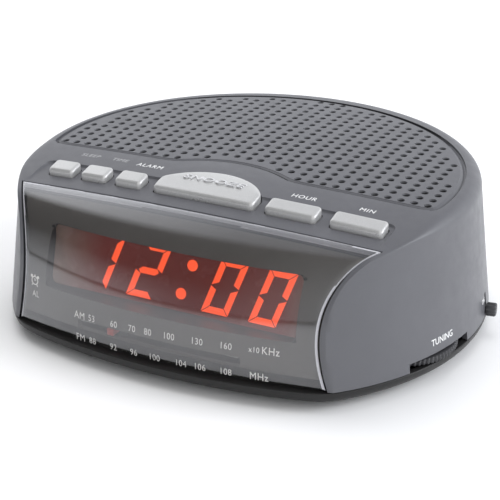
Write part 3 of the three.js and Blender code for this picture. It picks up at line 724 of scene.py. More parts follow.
class Nodes:
    """A short way to add and wire shader nodes."""

    def __init__(self, material):
        self.tree = material.node_tree

    def add(self, kind, inputs=None, **settings):
        node = self.tree.nodes.new("ShaderNode" + kind)
        for key, value in settings.items():
            setattr(node, key, value)
        for key, value in (inputs or {}).items():
            self.set(node, key, value)
        return node

    def set(self, node, key, value):
        socket = node.inputs[key]
        if isinstance(value, bpy.types.NodeSocket):
            self.tree.links.new(value, socket)
        else:
            socket.default_value = value

    def noise(self, scale, detail=2.0, rough=0.5):
        place = self.add("TexCoord").outputs["Object"]
        inputs = {"Vector": place, "Scale": scale, "Detail": detail, "Roughness": rough}
        return self.add("TexNoise", inputs).outputs["Fac"]

    def ramp(self, value, low, high, to_low=0.0, to_high=1.0):
        inputs = {"Value": value, "From Min": low, "From Max": high, "To Min": to_low, "To Max": to_high}
        return self.add("MapRange", inputs, clamp=True).outputs["Result"]

    def math(self, operation, a, b):
        return self.add("Math", {0: a, 1: b}, operation=operation).outputs[0]

    def mix(self, share, a, b):
        node = self.add("Mix", data_type="RGBA")
        self.set(node, 0, share)
        self.set(node, 6, a)
        self.set(node, 7, b)
        return node.outputs[2]

    def edge_mask_for_wear_and_highlight(self, radius, low=0.02, high=0.2):
        """1 on convex and concave edges, 0 on open faces."""
        rounded = self.add("Bevel", {"Radius": radius * MM}, samples=4).outputs[0]
        flat = self.add("NewGeometry").outputs["Normal"]
        together = self.add("VectorMath", {0: rounded, 1: flat}, operation="DOT_PRODUCT").outputs["Value"]
        return self.ramp(self.math("SUBTRACT", 1.0, together), low, high)


def shade(colour, factor):
    return tuple(min(c * factor, 1) for c in colour[:3]) + (1,)


def moulded(name, colour, rough, grain=0.35, grain_depth=0.02, mottle=0.08, wear=0.25, metal=0.0,
            coat=0.0, specular=0.5, edge_r=0.3):
    """Moulded or painted plastic: mottled colour, grain, uneven gloss and worn edges."""
    material = new_material(name)
    n = Nodes(material)
    cloud = n.noise(38, 3)
    patch = n.noise(210, 4, 0.6)
    fine = n.noise(1.0 / (grain * MM), 3, 0.6)
    base = n.mix(n.ramp(cloud, 0.35, 0.65), shade(colour, 1 - mottle), shade(colour, 1 + mottle))
    base = n.mix(n.ramp(fine, 0.35, 0.7, 0, 0.5), base, shade(colour, 1 + 2.2 * mottle))
    edge = n.edge_mask_for_wear_and_highlight(edge_r)
    base = n.mix(n.math("MULTIPLY", edge, wear), base, shade(colour, 2.1))
    gloss = n.ramp(patch, 0.3, 0.7, rough - 0.06, rough + 0.06)
    gloss = n.math("SUBTRACT", gloss, n.math("MULTIPLY", edge, 0.12))
    bump = n.add("Bump", {"Strength": 1.0, "Distance": grain_depth * MM, "Height": fine})
    rounded = n.add("Bevel", {"Radius": edge_r * 0.6 * MM}, samples=4)
    n.set(bump, "Normal", rounded.outputs[0])
    inputs = {"Base Color": base, "Roughness": gloss, "Metallic": metal, "Coat Weight": coat,
              "Coat Roughness": 0.2, "Specular IOR Level": specular, "Normal": bump.outputs[0]}
    shader = n.add("BsdfPrincipled", inputs)
    output = n.add("OutputMaterial", {"Surface": shader.outputs[0]})
    output.is_active_output = True
    return material


def silver_paint(name):
    """Satin silver paint: fine flakes, soft orange peel, and rims lightened as a painted highlight."""
    material = new_material(name)
    n = Nodes(material)
    colour = (0.59, 0.59, 0.585, 1)
    flakes = n.noise(5200, 1)
    cloud = n.noise(90, 3)
    base = n.mix(n.ramp(flakes, 0.35, 0.65), shade(colour, 0.9), shade(colour, 1.1))
    base = n.mix(n.ramp(cloud, 0.3, 0.7, 0, 0.4), base, shade(colour, 0.88))
    # The rims are mixed towards a pale bluish grey: a painted highlight.
    edge = n.edge_mask_for_wear_and_highlight(0.6, 0.015, 0.12)
    base = n.mix(n.math("MULTIPLY", edge, 0.75), base, (0.88, 0.88, 0.92, 1))
    gloss = n.ramp(cloud, 0.3, 0.7, 0.27, 0.35)
    peel = n.noise(700, 2)
    bump = n.add("Bump", {"Strength": 0.5, "Distance": 0.012 * MM, "Height": n.math("ADD", peel, flakes)})
    inputs = {"Base Color": base, "Roughness": gloss, "Metallic": 0.45, "Normal": bump.outputs[0]}
    shader = n.add("BsdfPrincipled", inputs)
    n.add("OutputMaterial", {"Surface": shader.outputs[0]})
    return material


def smoked_acrylic(name):
    """Polished smoked sheet: you see through it faintly, and it mirrors the room.

    Its outer face carries the reflections of both faces, and its inner face is clear."""
    material = new_material(name)
    n = Nodes(material)
    haze = n.noise(60, 4)
    scratches = n.noise(420, 6, 0.7)
    tint = n.mix(n.ramp(haze, 0.3, 0.7), (0.66, 0.645, 0.63, 1), (0.62, 0.605, 0.59, 1))
    clear = n.add("BsdfTransparent", {"Color": tint})
    bump = n.add("Bump", {"Strength": 0.5, "Distance": 0.004 * MM, "Height": n.noise(120, 2)})
    gloss = n.ramp(scratches, 0.3, 0.8, 0.05, 0.12)
    mirror = n.add("BsdfGlossy", {"Color": (0.96, 0.97, 1, 1), "Roughness": gloss, "Normal": bump.outputs[0]})
    veil = n.add("BsdfDiffuse", {"Color": (0.24, 0.235, 0.23, 1)})
    body = n.add("MixShader", {0: 0.06, 1: clear.outputs[0], 2: veil.outputs[0]})
    fresnel = n.add("Fresnel", {"IOR": 1.5, "Normal": bump.outputs[0]})
    share = n.ramp(n.math("MULTIPLY", fresnel.outputs[0], 3.0), 0, 0.85, 0, 0.85)
    outer = n.add("MixShader", {0: share, 1: body.outputs[0], 2: mirror.outputs[0]})
    inner = n.add("BsdfTransparent")
    inside = n.add("NewGeometry").outputs["Backfacing"]
    both = n.add("MixShader", {0: inside, 1: outer.outputs[0], 2: inner.outputs[0]})
    n.add("OutputMaterial", {"Surface": both.outputs[0]})
    return material


def glowing(name, colour, strength):
    """Lit display segments: a lamp colour, slightly hotter in places."""
    material = new_material(name)
    n = Nodes(material)
    cloud = n.noise(500, 2)
    lit = n.mix(n.ramp(cloud, 0.3, 0.7), shade(colour, 0.92), shade(colour, 1.08))
    inputs = {"Base Color": shade(colour, 0.6), "Roughness": n.ramp(cloud, 0.3, 0.7, 0.35, 0.5),
              "Emission Color": lit, "Emission Strength": strength}
    shader = n.add("BsdfPrincipled", inputs)
    n.add("OutputMaterial", {"Surface": shader.outputs[0]})
    return material


def worn_print(name, colour, glow):
    """Screen-printed ink, thinner in places and rubbed towards the left end of the top."""
    material = new_material(name)
    n = Nodes(material)
    parts = n.add("SeparateXYZ", {"Vector": n.add("TexCoord").outputs["Object"]})
    rubbed = n.math("MULTIPLY", n.ramp(parts.outputs["X"], -0.032, -0.038), n.ramp(parts.outputs["Z"], 0.045, 0.048))
    ink = n.mix(n.ramp(n.noise(900, 3), 0.3, 0.7), shade(colour, 0.9), shade(colour, 1.05))
    ink = n.mix(n.math("MULTIPLY", rubbed, 0.6), ink, (0.14, 0.14, 0.15, 1))
    bump = n.add("Bump", {"Strength": 0.5, "Distance": 0.004 * MM, "Height": n.noise(3000, 2)})
    inputs = {"Base Color": ink, "Roughness": n.ramp(n.noise(300, 2), 0.3, 0.7, 0.45, 0.6),
              "Normal": bump.outputs[0], "Emission Color": ink, "Emission Strength": glow}
    shader = n.add("BsdfPrincipled", inputs)
    n.add("OutputMaterial", {"Surface": shader.outputs[0]})
    return material


def display_glass(name):
    """The display's dark red-brown face, with a dim glow round the lit digits."""
    material = new_material(name)
    n = Nodes(material)
    place = n.add("TexCoord").outputs["Object"]
    parts = n.add("SeparateXYZ", {"Vector": place})
    from_left = n.ramp(parts.outputs["X"], -0.046, -0.028)
    from_right = n.ramp(parts.outputs["X"], 0.050, 0.040)
    glow = n.math("MULTIPLY", from_left, from_right)
    cloud = n.noise(160, 3)
    base = n.mix(n.ramp(cloud, 0.3, 0.7), (0.44, 0.32, 0.27, 1), (0.48, 0.35, 0.30, 1))
    base = n.mix(glow, base, (0.12, 0.03, 0.024, 1))
    bump = n.add("Bump", {"Strength": 0.3, "Distance": 0.01 * MM, "Height": n.noise(900, 2)})
    inputs = {"Base Color": base, "Roughness": n.ramp(cloud, 0.3, 0.7, 0.2, 0.3), "Normal": bump.outputs[0],
              "Emission Color": (0.5, 0.03, 0.012, 1), "Emission Strength": n.math("MULTIPLY", glow, 0.2)}
    shader = n.add("BsdfPrincipled", inputs)
    n.add("OutputMaterial", {"Surface": shader.outputs[0]})
    return material


LOOKS = {
    "case_charcoal": moulded("case_charcoal", (0.097, 0.098, 0.109), 0.48, 0.32, 0.02, 0.05, 0.22, coat=0.2),
    # A darker copy of the case plastic for the grille's holes: painted shade in the holes.
    "hole_painted_shade": moulded("hole_painted_shade", (0.03, 0.03, 0.033), 0.6, 0.32, 0.02, 0.05, 0.1),
    "base_plastic": moulded("base_plastic", (0.02, 0.0195, 0.0195), 0.42, 0.5, 0.008, 0.06, 0.25, specular=0.3),
    "silver_plastic": silver_paint("silver_plastic"),
    "smoked_lens": smoked_acrylic("smoked_lens"),
    # A pale grey for the lens's side and top edges: a painted highlight.
    "lens_edge_painted_highlight": moulded("lens_edge_painted_highlight", (0.46, 0.46, 0.49), 0.25, 0.3, 0.002, 0.06, 0.2),
    "dial_panel": moulded("dial_panel", (0.16, 0.154, 0.148), 0.6, 0.3, 0.01, 0.06, 0.1),
    "display_face": display_glass("display_face"),
    "circuit_board": moulded("circuit_board", (0.33, 0.19, 0.06), 0.5, 0.8, 0.02, 0.15, 0.1),
    "black_plastic": moulded("black_plastic", (0.018, 0.018, 0.02), 0.42, 0.4, 0.015, 0.1, 0.35),
    "wheel_plastic": moulded("wheel_plastic", (0.042, 0.042, 0.046), 0.4, 0.4, 0.01, 0.1, 0.5),
    "pointer_red": moulded("pointer_red", (0.75, 0.06, 0.02), 0.35, 0.4, 0.01, 0.08, 0.2),
    "steel": moulded("steel", (0.5, 0.5, 0.49), 0.3, 0.2, 0.006, 0.08, 0.3, metal=0.95),
    "cone_paper": moulded("cone_paper", (0.02, 0.019, 0.017), 0.9, 0.6, 0.06, 0.2, 0.1),
    "ferrite": moulded("ferrite", (0.04, 0.038, 0.042), 0.55, 0.3, 0.02, 0.15, 0.2),
    "laminations": moulded("laminations", (0.16, 0.15, 0.14), 0.45, 0.5, 0.03, 0.1, 0.3, metal=0.8),
    "winding": moulded("winding", (0.5, 0.25, 0.08), 0.35, 0.4, 0.05, 0.12, 0.2, metal=0.7),
    "cable": moulded("cable", (0.016, 0.016, 0.018), 0.45, 0.6, 0.02, 0.1, 0.2),
    "rubber": moulded("rubber", (0.02, 0.02, 0.02), 0.85, 0.5, 0.04, 0.15, 0.2),
    "print_white": worn_print("print_white", (0.86, 0.86, 0.86), 0.0),
    "dial_print": worn_print("dial_print", (0.66, 0.65, 0.63), 0.0),
    "digits": glowing("digits", (1.0, 0.095, 0.025), 1.7),
}


# ---- Case pieces ----

def screw_places():
    for name in ("rear_left", "rear_right", "side_left", "side_right"):
        low, high = box_mm("screw_" + name)
        yield name, (low.x + high.x) / 2, (low.y + high.y) / 2


def wheel_angle(sign):
    """Where a thumbwheel's slot lies round the case, from its hinge in the record."""
    name = "tuning_turn" if sign > 0 else "volume_turn"
    joint = next(j for j in frame["record"]["behaviour"]["joints"] if j["name"] == name)
    x, y, _ = joint["pos_m"]
    return math.degrees(math.atan2(y / MM - CENTRE_Y, x / MM)), x / MM, y / MM


def knob_angle(node):
    low, high = box_mm(node)
    return math.degrees(math.atan2((low.y + high.y) / 2 - CENTRE_Y, (low.x + high.x) / 2))


def make_top_case():
    made = solid(puck(0, SEAM_Z, 240))
    cut(made, puck(WALL, SEAM_Z - 1, 120, 2))
    pocket = keep(solid(front_space(LENS_THICK + 0.3)), column(LENS_RIM))
    combine(made, pocket, "DIFFERENCE")
    cut(made, front_space(0))
    behind = keep(solid(box_shape(-FAR, FAR, -FAR, LENS_TOP_Y - 1.7, 0, 60)), column(WALL))
    combine(made, behind, "DIFFERENCE")
    cut(made, channel_cutter())
    cut(made, groove_cutter())
    cut(made, hole_cutters())
    for name in SMALL_BUTTONS + ["snooze"]:
        cut(made, raised(button_outline(name, BUTTON_GAP), 40, TOP_Z + 4))
    for sign in (1, -1):
        angle, _, _ = wheel_angle(sign)
        half = 16
        cut(made, at_flank(box_shape(BODY_R - 12, BODY_R + 5, -half, half, SEAM_Z - 2, 10.3), angle))
    for node in ("function_switch_knob", "band_switch_knob"):
        slot = [(y, z) for y, z in rounded_rectangle(-1.3, 1.3, 6.2, 15.2, 0.6)]
        shape = loft([[(x, y, z) for y, z in slot] for x in (BODY_R - 5, BODY_R + 5)])
        cut(made, at_flank(shape, knob_angle(node)))
    for node, r in (("strain_relief", 3.8), ("aerial_wire", 1.2)):
        cut(made, flank_hole(node, r))
    looks = [LOOKS["case_charcoal"], LOOKS["hole_painted_shade"]]
    finished(made, "top_case", looks, "case", ["top_case"], 32)
    # Faces down inside the grille's holes and dimples take the darker material, as painted shade.
    for face in made.data.polygons:
        x, y, z = face.center / MM
        in_grille = math.hypot(x, y - CENTRE_Y) < 74 and y > HOLE_ROW_0_Y - 2
        face.material_index = 1 if in_grille and 0.4 < top_z(x, y) - z < WALL else 0


def flank_hole(node, r):
    """A round hole out through the flank where a cord leaves."""
    angle, height = exit_of(node)
    section = [(r * math.cos(t), r * math.sin(t)) for t in [2 * math.pi * i / 24 for i in range(24)]]
    shape = loft([[(x, y, height + z) for y, z in section] for x in (BODY_R - 11, BODY_R + 4)])
    return at_flank(shape, angle)


CORD_ANGLE = 122
WIRE_ANGLE = 60
CORD_Z = 12


def exit_of(node):
    return (CORD_ANGLE if node in ("strain_relief", "power_cord") else WIRE_ANGLE), CORD_Z


def base_loop(z, inset, ledge=0.0, segments=240):
    """A plan outline of the base: round, with a flatter chin in front and eased corners between."""
    blend = 1.1
    loop = []
    chin_centre = CHIN_Y + CHIN_R - CENTRE_Y
    for i in range(segments):
        t = 2 * math.pi * i / segments
        round_r = BODY_R - inset
        c, s = math.cos(t), math.sin(t)
        front = smoothstep(-s, 0.72, 0.8)
        reach = CHIN_R - inset - ledge * front
        root = reach ** 2 - (chin_centre * c) ** 2
        chin_r = chin_centre * s + math.sqrt(max(root, 0)) if root > 0 else 1e3
        gap = min(abs(round_r - chin_r) / blend, 40)
        r = min(round_r, chin_r) - blend * math.log(1 + math.exp(-gap))
        loop.append((r * c, CENTRE_Y + r * s, z))
    return loop


def make_bottom_case():
    outer = [(8.5, FLOOR_Z), (5.0, FLOOR_Z + 0.05), (3.4, FLOOR_Z + 0.35), (2.1, FLOOR_Z + 0.95),
             (1.1, FLOOR_Z + 1.8), (0.45, FLOOR_Z + 2.8), (0.1, FLOOR_Z + 3.9), (0.0, RIM_Z - 0.2), (0.2, RIM_Z)]
    loops = [base_loop(z, inset) for inset, z in outer]
    inner_z = FLOOR_Z + 2
    for inset, z in [(2.2, RIM_Z), (2.4, RIM_Z - 1.5), (2.9, inner_z + 0.6), (5, inner_z)]:
        loops.append(base_loop(z, inset, 4))
    made = solid(loft(loops))
    door_low, door_high = box_mm("battery_door")
    gap, wall = 0.3, 1.5
    x0, x1, y0, y1 = door_low.x - gap, door_high.x + gap, door_low.y - gap, door_high.y + gap
    join(made, box_shape(x0 - wall, x1 + wall, y0 - wall, y1 + wall, FLOOR_Z + 0.5, 21.6 + wall))
    cut(made, box_shape(x0, x1, y0, y1, FLOOR_Z - 1, 21.6))
    for _, x, y in screw_places():
        join(made, turned([(5, FLOOR_Z + 0.5), (5, 9)], 32, x, y))
        cut(made, turned([(3.7, FLOOR_Z - 1), (3.7, FLOOR_Z), (3.4, FLOOR_Z + 0.4), (3.4, 6)], 32, x, y))
        cut(made, turned([(1.7, 5), (1.7, 10)], 16, x, y))
    return finished(made, "bottom_case", LOOKS["base_plastic"], "case", ["bottom_case"], 32)


def make_lens():
    """The smoked sheet, with its side and top edges coloured pale as a painted highlight."""
    first, rim, edge_r = 0.3 / 33, LENS_RIM + 0.3, 0.8
    made = solid(sheet(0, LENS_THICK, rim, edge_r, first))
    looks = [LOOKS["smoked_lens"], LOOKS["lens_edge_painted_highlight"]]
    finished(made, "display_lens", looks, "case", ["display_lens"], 60)
    # Faces along the side and top edges take the pale painted highlight; the band is narrower on the right and absent
    # at the bottom.
    for face in made.data.polygons:
        x, y, z = face.center / MM
        band = edge_r if x < 0 else edge_r / 2
        at_side = math.hypot(x, y - CENTRE_Y) > flank_radius(z) - rim - band
        at_top = y > LENS_TOP_Y - 0.3 - edge_r
        face.material_index = 1 if at_side or at_top else 0


def make_panel():
    made = solid(sheet(PANEL_DEPTH, PANEL_DEPTH + PANEL_THICK, WALL + 0.6, 0.1, 0.06, 0.975, 64, 44))
    half, low_z, high_z, wall = 47, 21.5, 42, 1.2
    collar = solid(box_shape(-half - wall, half + wall, -FAR, module_low.y + 3.8, low_z - wall, high_z + wall))
    combine(collar, solid(front_space(PANEL_DEPTH)), "DIFFERENCE")
    combine(made, collar, "UNION")
    window = [(x, z) for x, z in rounded_rectangle(-half, half, low_z, high_z, 2.2)]
    cut(made, loft([[(x, y, z) for x, z in window] for y in (-FAR, LENS_TOP_Y)]))
    slot = [(x, z) for x, z in rounded_rectangle(-33, 29, 10, 13.4, 1.0)]
    cut(made, loft([[(x, y, z) for x, z in slot] for y in (-FAR, -62)]))
    finished(made, "dial_panel", [LOOKS["dial_panel"], LOOKS["black_plastic"]], "case",
             ["dial_panel"], 40)
    for face in made.data.polygons:
        x, _, z = face.center / MM
        lining = abs(x) < half + 0.05 and low_z - 0.05 < z < high_z + 0.05
        face.material_index = 1 if lining else 0


# ---- Display ----

DISPLAY_LEAN = 15
DIGIT_H = 18.6
DIGIT_W = 9.8
DIGIT_T = 2.2
DIGIT_SLANT = 0.31
DIGIT_MIDDLE = 0.7
SEGMENTS = {"0": "abcdef", "1": "bc", "2": "abged"}


def display_frame():
    """The display face's own directions: along it, up it and out of it."""
    lean = math.radians(DISPLAY_LEAN)
    up = Vector((0, math.sin(lean), math.cos(lean)))
    out = Vector((0, -math.cos(lean), math.sin(lean)))
    return up, out


def display_centre():
    """The middle of the module's front face."""
    up, out = display_frame()
    middle = (module_low + module_high) / 2
    return middle + out * 3


def on_display(u, v):
    up, out = display_frame()
    return display_centre() + Vector((1, 0, 0)) * u + up * v, out


def segment_outlines():
    w, h, t, gap = DIGIT_W, DIGIT_H, DIGIT_T, 0.22
    m, half = h / 2, t / 2
    return {
        "a": [(gap, h), (w - gap, h), (w - t - gap, h - t), (t + gap, h - t)],
        "d": [(gap, 0), (t + gap, t), (w - t - gap, t), (w - gap, 0)],
        "f": [(0, h - gap), (t, h - t - gap), (t, m + half + gap), (0, m + gap)],
        "e": [(0, gap), (0, m - gap), (t, m - half - gap), (t, t + gap)],
        "b": [(w, h - gap), (w, m + gap), (w - t, m + half + gap), (w - t, h - t - gap)],
        "c": [(w, gap), (w - t, t + gap), (w - t, m - half - gap), (w, m - gap)],
        "g": [(half, m), (t, m + half), (w - t, m + half), (w - half, m), (w - t, m - half), (t, m - half)],
    }


def slanted(u, v):
    return u + DIGIT_SLANT * (v - DIGIT_H / 2), v - DIGIT_H / 2 + DIGIT_MIDDLE


def flat_prism(outline, low, high):
    return loft([[(u, v, low) for u, v in outline], [(u, v, high) for u, v in outline]])


def make_display():
    lit, outlines = [], segment_outlines()
    for left, figure in zip((-32.4, -14.6, 13.9, 31.2), "1200"):
        for segment in SEGMENTS[figure]:
            outline = [slanted(left + u, v) for u, v in outlines[segment]]
            lit.append(wrapped(flat_prism(outline, 0.02, 0.25), on_display))
    for v in (4.2, DIGIT_H - 4.4):
        u0, v0 = slanted(4.7, v)
        r = 1.9
        dot = [(u0 + r * math.cos(a), v0 + r * math.sin(a)) for a in [2 * math.pi * i / 32 for i in range(32)]]
        lit.append(wrapped(flat_prism(dot, 0.02, 0.25), on_display))
    finished(solid(merged(lit)), "display_digits", LOOKS["digits"])
    face = rounded_rectangle(-49.5, 49.5, -14.8, 12.5, 1.5)
    loops = [[(u, v, w) for u, v in face] for w in (-6, -0.2)]
    loops.append([(u * 0.997, v * 0.985, 0) for u, v in face])
    made = solid(wrapped(loft(loops), on_display))
    finished(made, "led_module", LOOKS["display_face"], "case", ["led_module"], 30)


def alarm_icon():
    """A small alarm clock: a ring, two bells, two feet and two hands."""
    def disc(u, v, r, count=20):
        return [(u + r * math.cos(a), v + r * math.sin(a)) for a in [2 * math.pi * i / count for i in range(count)]]

    def bar(u0, v0, u1, v1, half):
        length = math.hypot(u1 - u0, v1 - v0)
        nu, nv = -(v1 - v0) / length * half, (u1 - u0) / length * half
        return [(u0 + nu, v0 + nv), (u0 - nu, v0 - nv), (u1 - nu, v1 - nv), (u1 + nu, v1 + nv)]
    low, high = -0.03, 0.03
    outer, inner = disc(0, 0, 1.55, 32), disc(0, 0, 1.2, 32)
    ring = [[(*a, low), (*a, high), (*b, high), (*b, low)] for a, b in zip(outer, inner)]
    shapes = [ring_loft(ring)]
    for outline in (bar(0, 0, 0, 0.8, 0.13), bar(0, 0, 0.55, 0.35, 0.13), disc(-1.45, 1.4, 0.55),
                    disc(1.45, 1.4, 0.55), bar(-0.9, -1.3, -1.35, -1.9, 0.17), bar(0.9, -1.3, 1.35, -1.9, 0.17),
                    bar(0, 1.5, 0, 2.1, 0.2)):
        shapes.append(flat_prism(outline, low, high))
    return merged(shapes)


def make_dial_print():
    """Both scales, their units and the alarm mark, printed on the lens."""
    depth = -0.03
    am = [("AM", -29.7, 2.9), ("53", -24.6, 2.6), ("60", -15.5, 2.6), ("70", -8.3, 2.6), ("80", -2.2, 2.6),
          ("100", 5.6, 2.6), ("130", 15.7, 2.6), ("160", 25.7, 2.6), ("KHz", 40.6, 3.0), ("x10", 35.2, 2.2)]
    fm = [("FM", -29.6, 2.9), ("88", -24.5, 2.6), ("92", -15.9, 2.6), ("96", -7.8, 2.6), ("100", 0.1, 2.6),
          ("104", 9.9, 2.6), ("106", 16.7, 2.6), ("108", 25.7, 2.6), ("MHz", 36.9, 3.0)]
    shapes = []
    for row, z, climb in ((am, 17.7, 0.031), (fm, 9.0, 0.0134)):
        for words, x, size in row:
            flat = text_shape(words, size * 1.25, 0.05, 0, 1.08, 0.84)
            shapes.append(wrapped(flat, on_lens(x, z + climb * x, depth)))
    shapes.append(wrapped(alarm_icon(), on_lens(-50, 23.7, depth)))
    shapes.append(wrapped(text_shape("AL", 3.0, 0.05, 0, 1.1, 0.85), on_lens(-49.6, 18.9, depth)))
    made = face_outwards(make_object("print", merged(shapes)))
    finished(made, "dial_print", LOOKS["dial_print"])


def make_pointer():
    low, high = box_mm("dial_pointer")
    x, z = (low.x + high.x) / 2, (low.z + high.z) / 2
    half, high_half, ease = 1.3, 1.2, 0.3
    loops = []
    for y, inset in ((low.y, ease), (low.y + ease, 0), (high.y - 1, 0)):
        tip = rounded_rectangle(x - half + inset, x + half - inset, z - high_half + inset, z + high_half - inset, 0.4)
        loops.append([(a, y, b) for a, b in tip])
    made = solid(loft(loops))
    carriage = rounded_rectangle(low.x, high.x, low.z, high.z, 0.6)
    join(made, loft([[(a, y, b) for a, b in carriage] for y in (high.y - 1.5, high.y)]))
    looks = [LOOKS["pointer_red"], LOOKS["black_plastic"]]
    finished(made, "dial_pointer", looks, "pointer", ["dial_pointer"])
    for face in made.data.polygons:
        face.material_index = 1 if face.center.y / MM > high.y - 1.6 else 0


# ---- Controls ----

def gear_loop(r, z, teeth, depth, centre, inset=0.0, per=4):
    loop = []
    count = teeth * per
    for i in range(count):
        t = 2 * math.pi * i / count
        reach = r - inset - depth * (0.5 - 0.5 * math.cos(teeth * t)) ** 1.5
        loop.append((centre[0] + reach * math.cos(t), centre[1] + reach * math.sin(t), z))
    return loop


def make_wheel(node, body):
    """A thumbwheel with a knurled rim and a shallow dish in its top."""
    low, high = box_mm(node)
    sign = 1 if low.x > 0 else -1
    _, x, y = wheel_angle(sign)
    r = (high.x - low.x) / 2
    thick = 1.8
    z0, z1 = low.z, low.z + thick
    teeth, depth = 78, 0.7
    for_teeth = ((0, 1.0, z0), (depth, 0.2, z0 + 0.1), (depth, 0, z0 + 0.3), (depth, 0, z1 - 0.5),
                 (depth, 0.2, z1 - 0.25), (0, 1.0, z1))
    loops = [gear_loop(r, z, teeth, deep, (x, y), inset, 6) for deep, inset, z in for_teeth]
    for reach, z in ((r - 3, z1), (r - 3.4, z1 - 0.5), (7, z1 - 0.5), (6.4, z1), (4, z1), (4, high.z)):
        loops.append(circle(reach, z, teeth * 6, x, y))
    made = solid(loft(loops))
    return finished(made, node, LOOKS["wheel_plastic"], body, [node], 40)


def make_slider_knob(node, body):
    """A small round knob with lobes, on a collar and a neck."""
    low, high = box_mm(node)
    angle = knob_angle(node)
    z = (low.z + high.z) / 2
    r = (high.z - low.z) / 2
    outer = flank_radius(z + r) + 4.0

    def loop(reach, out, depth):
        points = []
        for i in range(64):
            t = 2 * math.pi * i / 64
            here = reach - depth * (0.5 - 0.5 * math.cos(8 * t)) ** 2
            points.append((out, here * math.cos(t), z + here * math.sin(t)))
        return points
    length = 3.4
    start = outer - length
    loops = [loop(r * 0.9, start, 0.1), loop(r, start + 0.25, 0.45), loop(r, outer - 0.6, 0.45),
             loop(r - 0.15, outer - 0.25, 0.4), loop(r - 0.5, outer - 0.02, 0.3), loop(r - 1.1, outer + 0.08, 0.1)]
    shape = at_flank(loft(loops), angle)
    made = solid(shape)
    join(made, at_flank(box_shape(79, start + 1, -0.95, 0.95, z - 1.5, z + 1.5), angle))
    return finished(made, node, LOOKS["wheel_plastic"], body, [node], 45)


# ---- Underneath and behind ----

def make_feet():
    for name in ("front_left", "front_right", "rear_left", "rear_right"):
        node = "foot_" + name
        low, high = box_mm(node)
        x, y, r = (low.x + high.x) / 2, (low.y + high.y) / 2, (high.x - low.x) / 2
        profile = [(r - 3.4, 0.5), (r - 2.9, 0.12), (r - 2.2, 0), (r - 0.9, 0), (r - 0.35, 0.2),
                   (r - 0.1, 0.7), (r, high.z), (r - 1, high.z)]
        made = solid(turned(profile, 48, x, y))
        finished(made, node, LOOKS["rubber"], "case", [node], 40)


def make_screws():
    for name, x, y in screw_places():
        node = "screw_" + name
        low, high = box_mm(node)
        head_r = (high.x - low.x) / 2
        profile = [(head_r - 1.2, low.z - 0.0), (head_r - 0.35, low.z + 0.15), (head_r, low.z + 0.6),
                   (head_r, low.z + 1.4), (1.4, low.z + 1.4), (1.4, high.z - 2), (0.4, high.z)]
        made = solid(turned(profile, 40, x, y))
        for spin in (0, 90):
            arm = box_shape(-1.6, 1.6, -0.32, 0.32, -1, 0.9)
            turn = Matrix.Translation((x, y, low.z)) @ Matrix.Rotation(math.radians(spin + 20), 4, "Z")
            cut(made, moved(arm, turn))
        finished(made, node, LOOKS["steel"], "case", [node], 35)


def make_door():
    """The battery cover: a rounded panel with grip ribs and a finger notch at its free end."""
    low, high = box_mm("battery_door")
    r = (high.z - low.z) / 2
    edge = 0.3
    centre_y, centre_z = low.y + r, low.z + r
    side = []
    for i in range(17):
        t = math.pi / 2 + math.pi * i / 16
        side.append((centre_y + r * math.cos(t), centre_z + r * math.sin(t)))
    side += [(high.y - edge, low.z), (high.y, low.z + edge), (high.y, high.z)]
    loops = []
    for x, shrink in ((low.x, edge), (low.x + edge, 0), (high.x - edge, 0), (high.x, edge)):
        loops.append([(x, y, max(z, low.z + shrink)) for y, z in side])
    made = solid(loft(loops))
    middle = (low.x + high.x) / 2
    for i in range(5):
        y = high.y - 9 - 1.8 * i
        reach = 7 - 0.8 * i
        rib = rounded_rectangle(middle - reach, middle + reach, y - 0.4, y + 0.4, 0.39, 4)
        cut(made, raised(rib, low.z - 1, low.z + 0.45))
    notch = rounded_rectangle(middle - 5, middle + 5, high.y - 2.2, high.y + 3, 1.5)
    cut(made, raised(notch, low.z - 1, low.z + 1.0))
    finished(made, "battery_door", LOOKS["base_plastic"], "door", ["battery_door"], 32)


def swept(path, r, segments=20):
    """A round cord through a row of points, smoothed."""
    dense = []
    count = len(path)
    for i in range(count - 1):
        p0, p1 = Vector(path[max(i - 1, 0)]), Vector(path[i])
        p2, p3 = Vector(path[i + 1]), Vector(path[min(i + 2, count - 1)])
        for j in range(8):
            t = j / 8
            dense.append(0.5 * ((2 * p1) + (p2 - p0) * t + (2 * p0 - 5 * p1 + 4 * p2 - p3) * t * t
                                + (3 * p1 - p0 - 3 * p2 + p3) * t ** 3))
    dense.append(Vector(path[-1]))
    loops = []
    sideways = Vector((0, 1, 0))
    for i, here in enumerate(dense):
        along = (dense[min(i + 1, len(dense) - 1)] - dense[max(i - 1, 0)]).normalized()
        up = along.cross(sideways).normalized()
        side = up.cross(along)
        loops.append([tuple(here + r * (math.cos(a) * up + math.sin(a) * side))
                      for a in [2 * math.pi * k / segments for k in range(segments)]])
    return loft(loops)


def make_cords():
    straight = [(66, 0, CORD_Z), (76, 0, CORD_Z), (86, 0, CORD_Z), (94.5, 0, CORD_Z)]
    path = straight + [(97, 0, 10), (97.8, 0, 5)]
    made = solid(at_flank(swept(path, 1.7), CORD_ANGLE))
    finished(made, "power_cord", LOOKS["cable"], "case", ["power_cord"], 50)
    path = [(74, 0, 14), (80, 0, CORD_Z), (88, 0, CORD_Z), (92, 0, 8), (93, 0, 2.8)]
    made = solid(at_flank(swept(path, 0.8, 14), WIRE_ANGLE))
    finished(made, "aerial_wire", LOOKS["cable"], "case", ["aerial_wire"], 50)


